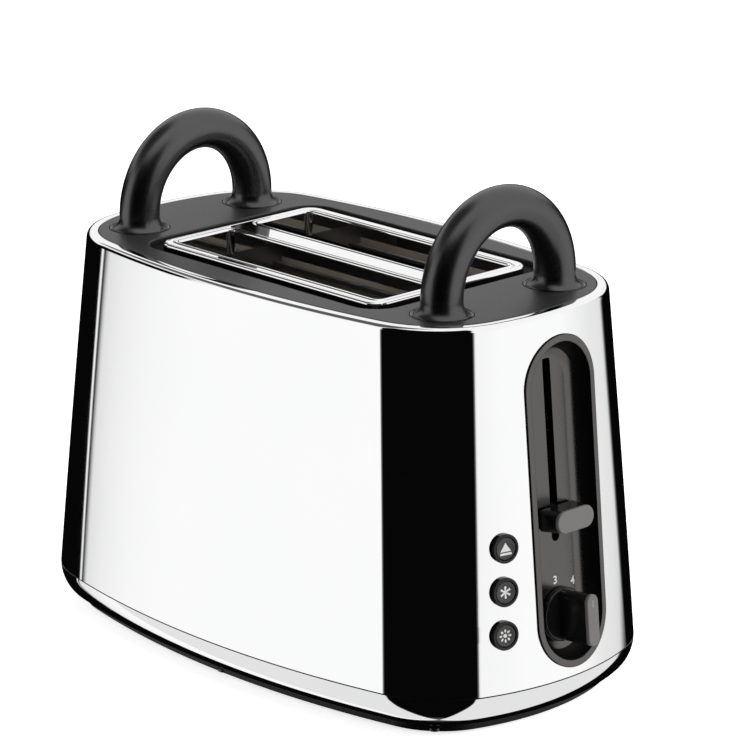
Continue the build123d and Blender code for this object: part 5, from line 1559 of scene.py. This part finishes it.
@dataclass
class Dial:
    """Browning dial: thin disc and tall fin, with a grey pad and a pointer mark."""

    y: float = 5.6
    height: float = 47.9
    base: float = 9.6
    disc_radius: float = 12.6
    disc: float = 2.6
    disc_edge: float = 0.8
    fin_length: float = 24.4
    fin_width: float = 7.4
    proud: float = 11.1
    pad: float = 1.6
    edge: float = 0.6
    mark_length: float = 3.6
    mark_width: float = 0.8
    mark_drop: float = 2.4

    def build(self) -> None:
        """Makes the dial, its pad and its mark."""
        place = WallPlace(self.y, self.height)
        low = -self.base
        solid = Solid()
        top = low + self.disc
        profile = [(self.disc_radius - 0.3, low), (self.disc_radius, low + 0.3)]
        profile += arc((self.disc_radius - self.disc_edge, top - self.disc_edge), self.disc_edge, 0, 90, 8)
        solid.plug(profile, place.points, 72)
        face = self.proud - self.pad
        rings = solid.loft([place.points(stadium(self.fin_length, self.fin_width, 24), out)
                            for out in (low + 0.4, face)])
        solid.flat(rings[0])
        solid.flat(rings[1])
        body = add_piece("dial_grip", solid.mesh("dial_grip", SHARP_ANGLE), DIAL_BLACK, Body.KNOB.value,
                         Slot.SATIN, ["browning_knob"])
        weigh_normals(body)
        pad = Solid()
        edge = self.edge
        turns = [math.radians(t) for t in range(0, 91, 18)]
        profile = [(0.0, face)]
        profile += [(edge - edge * math.cos(t), self.proud - edge + edge * math.sin(t)) for t in turns]
        outlines = []
        for inset, out in profile:
            outline = stadium(self.fin_length - 2 * inset, self.fin_width - 2 * inset, 24)
            outlines.append(place.points(outline, out))
        rings = pad.loft(outlines)
        pad.flat(rings[0])
        pad.flat(rings[-1])
        piece = add_piece("dial_face", pad.mesh("dial_face", SHARP_ANGLE), PAD_GREY, Body.KNOB.value,
                          Slot.GREY, ["knob_pad"])
        weigh_normals(piece)
        mark = Solid()
        lift = (self.fin_length - self.mark_length) / 2 - self.mark_drop
        outline = [(s, t + lift) for s, t in stadium(self.mark_length, self.mark_width, 8)]
        rings = mark.loft([place.points(outline, out) for out in (self.proud - 0.05, self.proud + 0.05)])
        mark.flat(rings[0])
        mark.flat(rings[1])
        add_piece("dial_mark", mark.mesh("dial_mark"), FAINT_PRINT, Body.KNOB.value, Slot.GREY)


@dataclass
class Buttons:
    """Three round buttons with dark rings and white symbols."""

    ring_radius: float = 6.8
    ring_proud: float = 2.0
    sleeve_radius: float = 5.9
    sleeve_depth: float = 4.0
    cap_radius: float = 5.2
    cap_proud: float = 1.7
    dish: float = 0.5
    stem_radius: float = 2.0
    stem_end: float = 15.4
    flange_radius: float = 5.6
    icon_lift: float = 0.06

    def ring(self) -> bpy.types.Object:
        """Dark rings in the wall.

        Returns:
            The finished piece.
        """
        solid = Solid()
        bore, edge = self.cap_radius + 0.15, 0.5
        profile = [(bore, -self.sleeve_depth), (self.sleeve_radius, -self.sleeve_depth),
                   (self.sleeve_radius, 0.1), (self.ring_radius, 0.1)]
        profile += arc((self.ring_radius - edge, self.ring_proud - edge), edge, 0, 90, 6)
        profile += arc((bore + 0.3, self.ring_proud - 0.3), 0.3, 90, 180, 4)
        for place in BUTTON_PLACES:
            solid.turned(profile, place.points, 56)
        return add_piece("button_surrounds", solid.mesh("button_surrounds", 40.0), GLOSS, Body.HOUSING.value,
                         Slot.GLOSS, ["button_rings"])

    def cap(self, place: WallPlace, name: str, body: Body, node: str) -> bpy.types.Object:
        """A dished cap on its stem.

        Args:
            place: Where it sits on the wall.
            name: Name of the piece.
            body: The body that it rides on.
            node: The CAD node that it stands for.

        Returns:
            The finished piece.
        """
        back = -self.sleeve_depth - 0.3
        profile = [(self.stem_radius, -self.stem_end), (self.stem_radius, back - 1.2),
                   (self.flange_radius, back - 1.2), (self.flange_radius, back), (self.cap_radius, back)]
        profile += arc((self.cap_radius - 0.5, self.cap_proud - 0.5), 0.5, 0, 90, 6)
        steps = 8
        reach = self.cap_radius - 0.6
        for i in range(steps):
            share = 1 - i / steps
            profile.append((reach * share, self.cap_proud - self.dish * (1 - share**2)))
        solid = Solid()
        solid.plug(profile, place.points, 56)
        return add_piece(name, solid.mesh(name, 40.0), CHARCOAL, body.value, Slot.GLOSS, [node])

    def icon_shapes(self, icon: Icon) -> list[list[Pair]]:
        """Outlines of a symbol: a triangle over a bar, a snow star, or a sun of petals.

        Args:
            icon: The symbol.

        Returns:
            Its outlines, in millimetres from the cap's middle.
        """
        if icon is Icon.EJECT:
            return [[(-2.85, -1.37), (2.85, -1.37), (0.0, 2.75)],
                    [(-3.0, -2.9), (3.0, -2.9), (3.0, -1.9), (-3.0, -1.9)]]
        if icon is Icon.DEFROST:
            spokes = [FULL_TURN * (i / 6 + 1 / 12) for i in range(6)]
            spoke = ((0.35, -0.32), (2.8, -0.55), (2.8, 0.55), (0.35, 0.32))
            return [[self.spun(a, b, turn) for a, b in spoke] for turn in spokes] + [circle(0.62, 12)]
        petals = [FULL_TURN * i / 8 for i in range(8)]
        petal = [(2.35 + 0.78 * x, 0.5 * y) for x, y in circle(1.0, 14)]
        return [[self.spun(a, b, turn) for a, b in petal] for turn in petals] + [circle(0.95, 20)]

    def spun(self, along: float, side: float, turn: float) -> Pair:
        """A point given along and beside a direction."""
        cos, sin = math.cos(turn), math.sin(turn)
        return along * cos - side * sin, along * sin + side * cos

    def icon(self, place: WallPlace, icon: Icon, body: Body) -> bpy.types.Object:
        """A printed symbol that follows the cap's dish.

        Args:
            place: Where the cap sits on the wall.
            icon: The symbol.
            body: The body that it rides on.

        Returns:
            The finished piece.
        """
        reach = self.cap_radius - 0.6
        origin, across, up, out = place.axes
        solid = Solid()
        for shape in self.icon_shapes(icon):
            rings = []
            for lift in (-0.12, self.icon_lift):
                ring = []
                for s, t in shape:
                    share = min(math.hypot(s, t) / reach, 1.0)
                    level = self.cap_proud - self.dish * (1 - share**2) + lift
                    ring.append(origin + across * s + up * t + out * level)
                rings.append(ring)
            made = solid.loft(rings)
            solid.flat(made[0])
            solid.flat(made[1])
        name = icon.value + "_symbol"
        return add_piece(name, solid.mesh(name), WHITE_PRINT, body.value, Slot.GLOSS)

    def build(self) -> None:
        """Makes the rings, caps and symbols."""
        self.ring()
        rows = ((Icon.REHEAT, Body.REHEAT), (Icon.DEFROST, Body.DEFROST), (Icon.EJECT, Body.EJECT))
        for place, (icon, body) in zip(BUTTON_PLACES, rows):
            self.cap(place, icon.value + "_cap", body, icon.value + "_button")
            self.icon(place, icon, body)


@dataclass
class LiftSprings:
    """Two wound springs that lift the carriage."""

    x: float = 84.0
    y: float = 31.0
    bottom: float = 61.2
    top: float = 172.0
    coil_radius: float = 2.2
    wire_radius: float = 0.5
    turns: float = 14.0
    travel: float = 68.0

    def build(self) -> bpy.types.Object:
        """Makes the springs.

        Returns:
            The finished piece.
        """
        start = self.bottom + self.wire_radius
        length = self.top - self.bottom - 2 * self.wire_radius
        places = [Vector((self.x, sy * self.y, start)) for sy in (-1, 1)]
        mesh = run_tree("wound_springs", coil_tree(), places, {
            "Turns": self.turns, "Length": length * MM, "Coil Radius": self.coil_radius * MM,
            "Wire Radius": self.wire_radius * MM, "Finish": BRIGHT_STEEL.material(),
        })
        mesh.shade_smooth()
        piece = add_piece("wound_springs", mesh, BRIGHT_STEEL, Body.HOUSING.value, Slot.SHEET,
                          ["lift_springs"])
        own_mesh(piece)
        return piece


@dataclass
class Dressing:
    """Finishes for the frame's nodes that keep their own shape."""

    finishes: dict[str, Finish] = field(default_factory=lambda: {
        "seam_ring": SATIN, "base_plate": SATIN, "feet": RUBBER, "cable_bush": RUBBER,
        "base_screws": DARK_SCREW, "handle_screws": DARK_SCREW, "tray_pull": GREY,
        "crumb_tray": SHEET, "front_bulkhead": SHEET, "rear_bulkhead": SHEET,
        "left_shield": SHEET, "right_shield": SHEET, "carriage_plate": SHEET, "lever_arm": SHEET,
        "left_rack": GUIDE_STEEL, "right_rack": GUIDE_STEEL,
        "left_outer_guide": GUIDE_STEEL, "left_inner_guide": GUIDE_STEEL,
        "right_inner_guide": GUIDE_STEEL, "right_outer_guide": GUIDE_STEEL,
        "guide_rods": BRIGHT_STEEL, "hold_magnet": SHEET, "armature": BRIGHT_STEEL,
        "knob_shaft": BRIGHT_STEEL, "left_heater": MICA, "centre_heater": MICA, "right_heater": MICA,
        "heater_windings": WIRE, "magnet_coil": COPPER, "main_board": BOARD, "button_board": BOARD,
        "slide_bushes": MOULDED, "button_carrier": MOULDED, "potentiometer": MOULDED,
        "tact_switches": MOULDED, "board_parts": MOULDED,
    })

    def build(self) -> None:
        """Gives each shown node its finish."""
        for name, finish in self.finishes.items():
            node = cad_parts[name]
            node.data.materials.clear()
            node.data.materials.append(finish.material())
        LOG.info("dressed %d nodes", len(self.finishes))


# Studio and camera


@dataclass(frozen=True)
class SoftLamp:
    """Square soft lamp: its place and the length of its side in metres, and its power in watts."""

    name: str
    place: tuple[float, float, float]
    side: float
    power: float
    aim_height: float = 0.1

    def build(self) -> None:
        """Puts the lamp in the scene, aimed at the toaster."""
        light = bpy.data.lights.new(self.name, "AREA")
        light.size, light.energy = self.side, self.power
        lamp = bpy.data.objects.new(self.name, light)
        place = Vector(self.place)
        lamp.location = place
        lamp.rotation_euler = (Vector((0, 0, self.aim_height)) - place).to_track_quat("-Z", "Y").to_euler()
        lamp.visible_glossy = False
        bpy.context.scene.collection.objects.link(lamp)


@dataclass
class Studio:
    """Pale floor, soft lamps, and white walls with dark gaps that the polished steel reflects.

    Azimuths are in degrees, and heights and depths are parts of a direction of length 1.

    Attributes:
        bands: Brightness of the walls at each azimuth.
        edge: Thin lines in a narrow span of azimuths, which the bands are multiplied by.
        ceiling: Height from which the ceiling shows at each azimuth.
        ground: Depth from which the ground shows at each azimuth.
        dim_ceiling: Height from which the ceiling is dim at each azimuth.
        ceiling_edge: How far below and above its limit the ceiling fades in.
        ground_edge: The same for the ground.
        dim_edge: The same for the dim part of the ceiling.
        overhead: Brightness of the ceiling.
        overhead_dim: Brightness of its dim part.
        underfoot: Brightness of the ground.
        gain: Strength of this light.
        lean: Degrees that an edge between bands moves over a whole unit of height.
        lean_level: Depth at which a leaning edge stands at its own azimuth.
        lean_until: Edges lean in full up to the first azimuth and stand upright from the second.
    """

    floor_size: float = 8.0
    floor_grey: float = 0.88
    floor_glow: float = 0.76
    lamps: tuple[SoftLamp, ...] = (
        SoftLamp("top_lamp", (-0.3, 0.2, 1.6), 1.2, 6.0),
        SoftLamp("end_lamp", (1.1, 1.0, 0.55), 0.5, 8.0),
    )
    bands: tuple[Pair, ...] = (
        (-180, 1.0), (-106.5, 1.0), (-105.3, 0.002), (-4.5, 0.002), (-2.5, 0.95), (12, 0.97), (25, 1.0),
        (50, 1.0), (64, 0.84), (76, 0.79), (80, 0.72), (82, 0.45), (84, 0.15), (87, 0.002), (180, 0.002),
    )
    edge: tuple[Pair, ...] = (
        (-165, 0.002), (-158.85, 0.002), (-158.6, 0.98), (-158.42, 0.98), (-158.22, 0.01), (-158.05, 0.01),
        (-157.7, 0.36), (-157.35, 0.66), (-157.0, 0.78), (-154, 0.88), (-148, 0.97), (-140, 1.0),
    )
    ceiling: tuple[Pair, ...] = (
        (-180, 0.17), (-165, 0.17), (-160, 0.3), (-110, 0.3), (-103, 0.76), (-3, 0.76), (2, 0.3), (84, 0.3),
        (90, 0.17), (180, 0.17),
    )
    ground: tuple[Pair, ...] = (
        (-180, 1.0), (-163, 1.0), (-158, 0.33), (-106, 0.33), (-99, 0.7), (-85, 1.0), (-20, 1.0), (-9, 0.65),
        (-4, 0.33), (84, 0.33), (90, 1.0), (180, 1.0),
    )
    dim_ceiling: tuple[Pair, ...] = (
        (-180, 0.42), (-112, 0.42), (-100, 1.0), (150, 1.0), (172, 0.42), (180, 0.42),
    )
    ceiling_edge: Pair = (0.05, 0.06)
    ground_edge: Pair = (0.03, 0.1)
    dim_edge: Pair = (0.0, 0.15)
    overhead: float = 0.95
    overhead_dim: float = 0.1
    underfoot: float = 0.8
    gain: float = 1.01
    lean: float = 56.0
    lean_level: float = 0.208
    lean_until: Pair = (-145.0, -135.0)

    def share_of(self, azimuth: float) -> float:
        """An azimuth in degrees as a share from 0 to 1 of the whole turn."""
        return (azimuth + 180) / 360

    def by_azimuth(self, tree: Tree, share: bpy.types.NodeSocket, stops: Sequence[Pair], start: float = -180,
                   span: float = 360) -> bpy.types.NodeSocket:
        """Grey value that follows the azimuth.

        Args:
            tree: The world's nodes.
            share: Azimuth from 0 to 1.
            stops: Azimuths in degrees and their values.
            start: Azimuth at share 0.
            span: Degrees from share 0 to share 1.

        Returns:
            The colour socket.
        """
        ramp = tree.add("ShaderNodeValToRGB", {"Fac": share})
        made = ramp.color_ramp.elements
        for azimuth, value in stops[1:-1]:
            made.new((azimuth - start) / span).color = (value, value, value, 1)
        for stop, (_, value) in ((made[0], stops[0]), (made[len(made) - 1], stops[-1])):
            stop.color = (value, value, value, 1)
        return ramp.outputs["Color"]

    def beyond(self, tree: Tree, rise: bpy.types.NodeSocket, limit: bpy.types.NodeSocket,
               edge: Pair) -> bpy.types.NodeSocket:
        """How far a direction lies beyond a limit.

        Args:
            tree: The world's nodes.
            rise: Height of the direction.
            limit: Height of the limit.
            edge: How far below and above the limit its soft edge reaches.

        Returns:
            A socket that goes from 0 to 1.
        """
        low = tree.add("ShaderNodeMath", {0: limit, 1: edge[0]}, operation="SUBTRACT")
        high = tree.add("ShaderNodeMath", {0: limit, 1: edge[1]}, operation="ADD")
        found = tree.add("ShaderNodeMapRange", {"Value": rise, "From Min": low.outputs[0],
                                                "From Max": high.outputs[0]}, interpolation_type="SMOOTHSTEP")
        return found.outputs["Result"]

    def mixed(self, tree: Tree, share: bpy.types.NodeSocket, first: bpy.types.NodeSocket | float,
              second: bpy.types.NodeSocket | float) -> bpy.types.NodeSocket:
        """Two colours mixed.

        Args:
            tree: The world's nodes.
            share: Socket that says how much of the second there is.
            first: The first colour, a socket or a grey value.
            second: The second colour, a socket or a grey value.

        Returns:
            The colour socket.
        """
        mix = tree.add("ShaderNodeMix", {0: share}, data_type="RGBA")
        for number, value in ((6, first), (7, second)):
            if isinstance(value, bpy.types.NodeSocket):
                tree.join(value, mix.inputs[number])
            else:
                mix.inputs[number].default_value = (value, value, value, 1)
        return mix.outputs[2]

    def world(self) -> None:
        """World light: white to the camera, elsewhere a studio of white walls and dark gaps."""
        world = bpy.data.worlds.new("studio")
        bpy.context.scene.world = world
        world.use_nodes = True
        world.node_tree.nodes.clear()
        tree = Tree(world.node_tree)
        place = tree.add("ShaderNodeTexCoord")
        parts = tree.add("ShaderNodeSeparateXYZ", {0: place.outputs["Generated"]})
        angle = tree.add("ShaderNodeMath", {0: parts.outputs["Y"], 1: parts.outputs["X"]},
                         operation="ARCTAN2")
        share = tree.add("ShaderNodeMapRange", {"Value": angle.outputs[0], "From Min": -HALF_TURN,
                                                "From Max": HALF_TURN}).outputs["Result"]
        rise = tree.add("ShaderNodeMath", {0: parts.outputs["Z"], 1: self.lean / 360,
                                           2: self.lean_level * self.lean / 360}, operation="MULTIPLY_ADD")
        full, gone = (self.share_of(azimuth) for azimuth in self.lean_until)
        corner = tree.add("ShaderNodeMapRange", {"Value": share, "From Min": gone, "From Max": full})
        slope = tree.add("ShaderNodeMath", {0: rise.outputs[0], 1: corner.outputs["Result"]},
                         operation="MULTIPLY")
        leaning = tree.add("ShaderNodeMath", {0: share, 1: slope.outputs[0]}, operation="SUBTRACT")
        first, last = self.edge[0][0], self.edge[-1][0]
        near = tree.add("ShaderNodeMapRange", {"Value": leaning.outputs[0], "From Min": self.share_of(first),
                                               "From Max": self.share_of(last)}).outputs["Result"]
        lines = self.by_azimuth(tree, near, self.edge, first, last - first)
        both = tree.add("ShaderNodeMix", {0: 1.0}, data_type="RGBA", blend_type="MULTIPLY")
        tree.join(self.by_azimuth(tree, leaning.outputs[0], self.bands), both.inputs[6])
        tree.join(lines, both.inputs[7])
        walls = both.outputs[2]
        above = self.beyond(tree, parts.outputs["Z"], self.by_azimuth(tree, share, self.ceiling),
                            self.ceiling_edge)
        fall = tree.add("ShaderNodeMath", {0: parts.outputs["Z"], 1: -1.0}, operation="MULTIPLY").outputs[0]
        below = self.beyond(tree, fall, self.by_azimuth(tree, share, self.ground), self.ground_edge)
        high = self.beyond(tree, parts.outputs["Z"], self.by_azimuth(tree, share, self.dim_ceiling),
                           self.dim_edge)
        top = self.mixed(tree, high, self.overhead, self.overhead_dim)
        room = self.mixed(tree, below, self.mixed(tree, above, walls, top), self.underfoot)
        path = tree.add("ShaderNodeLightPath")
        seen = self.mixed(tree, path.outputs["Is Camera Ray"], room, 1.0)
        level = tree.add("ShaderNodeMath", {0: path.outputs["Is Camera Ray"], 1: 1.0 - self.gain,
                                            2: self.gain}, operation="MULTIPLY_ADD")
        light = tree.add("ShaderNodeBackground", {"Color": seen, "Strength": level.outputs[0]})
        out = tree.add("ShaderNodeOutputWorld")
        tree.join(light.outputs[0], out.inputs["Surface"])

    def floor(self) -> None:
        """Pale floor that shows white to the camera and keeps the toaster's shadow."""
        half = self.floor_size / 2
        mesh = bpy.data.meshes.new("floor")
        corners = [(-half, -half, 0), (half, -half, 0), (half, half, 0), (-half, half, 0)]
        mesh.from_pydata(corners, [], [(0, 1, 2, 3)])
        floor = bpy.data.objects.new("floor", mesh)
        bpy.context.scene.collection.objects.link(floor)
        made = bpy.data.materials.new("white_floor")
        made.use_nodes = True
        nodes = made.node_tree.nodes
        nodes.clear()
        tree = Tree(made.node_tree)
        grey = self.floor_grey
        matt = tree.add("ShaderNodeBsdfDiffuse", {"Color": (grey, grey, grey, 1)})
        glow = tree.add("ShaderNodeEmission", {"Color": (1, 1, 1, 1)})
        path = tree.add("ShaderNodeLightPath")
        level = tree.add("ShaderNodeMath", {0: path.outputs["Is Camera Ray"], 1: self.floor_glow},
                         operation="MULTIPLY")
        tree.join(level.outputs[0], glow.inputs["Strength"])
        both = tree.add("ShaderNodeAddShader", {0: matt.outputs[0], 1: glow.outputs[0]})
        out = tree.add("ShaderNodeOutputMaterial")
        tree.join(both.outputs[0], out.inputs["Surface"])
        mesh.materials.append(made)
        floor.visible_glossy = False

    def build(self) -> None:
        """Sets up the world, the floor and the lamps."""
        self.world()
        self.floor()
        for lamp in self.lamps:
            lamp.build()
        bpy.context.scene.view_settings.view_transform = "Standard"


@dataclass
class PhotoCamera:
    """Camera at the photograph's place, as solved from the outline.

    Angles are in degrees, distances and shifts in millimetres, and the focal length and the side in pixels
    of the photograph.
    """

    azimuth: float = 45.803
    elevation: float = 16.889
    roll: float = -0.376
    distance: float = 1882.9
    focus_pixels: float = 3948.4
    side_pixels: float = 736.0
    shift_x: float = -12.81
    shift_y: float = 37.52
    target_height: float = 95.0
    sensor: float = 36.0

    def build(self) -> None:
        """Makes the camera."""
        a, e, turn = (math.radians(v) for v in (self.azimuth, self.elevation, self.roll))
        right = Vector((math.cos(a), math.sin(a), 0))
        ahead = Vector((-math.sin(a) * math.cos(e), math.cos(a) * math.cos(e), -math.sin(e)))
        up = right.cross(ahead)
        cos, sin = math.cos(turn), math.sin(turn)
        right, up = right * cos - up * sin, right * sin + up * cos
        target = Vector((0, 0, self.target_height))
        eye = target - ahead * self.distance - right * self.shift_x + up * self.shift_y
        data = bpy.data.cameras.new("photo_camera")
        data.sensor_width, data.lens = self.sensor, self.focus_pixels * self.sensor / self.side_pixels
        data.clip_start, data.clip_end = 0.05, 50
        camera = bpy.data.objects.new("photo_camera", data)
        bpy.context.scene.collection.objects.link(camera)
        camera.matrix_world = Matrix.Translation(eye * MM) @ Matrix((right, up, -ahead)).transposed().to_4x4()
        bpy.context.scene.camera = camera


def main() -> None:
    """Builds each sub-assembly in order."""
    logging.basicConfig(level=logging.INFO, format="%(message)s")
    PhotoCamera().build()
    Studio().build()
    Housing().build()
    Deck().build()
    ArchHandle("control_arch", "control_end_handle", 102.6).build()
    ArchHandle("rear_arch", "rear_end_handle", -102.6).build()
    ControlRecess().build()
    Lever().build()
    Dial().build()
    Buttons().build()
    LiftSprings().build()
    Dressing().build()


if __name__ == "__main__":
    main()
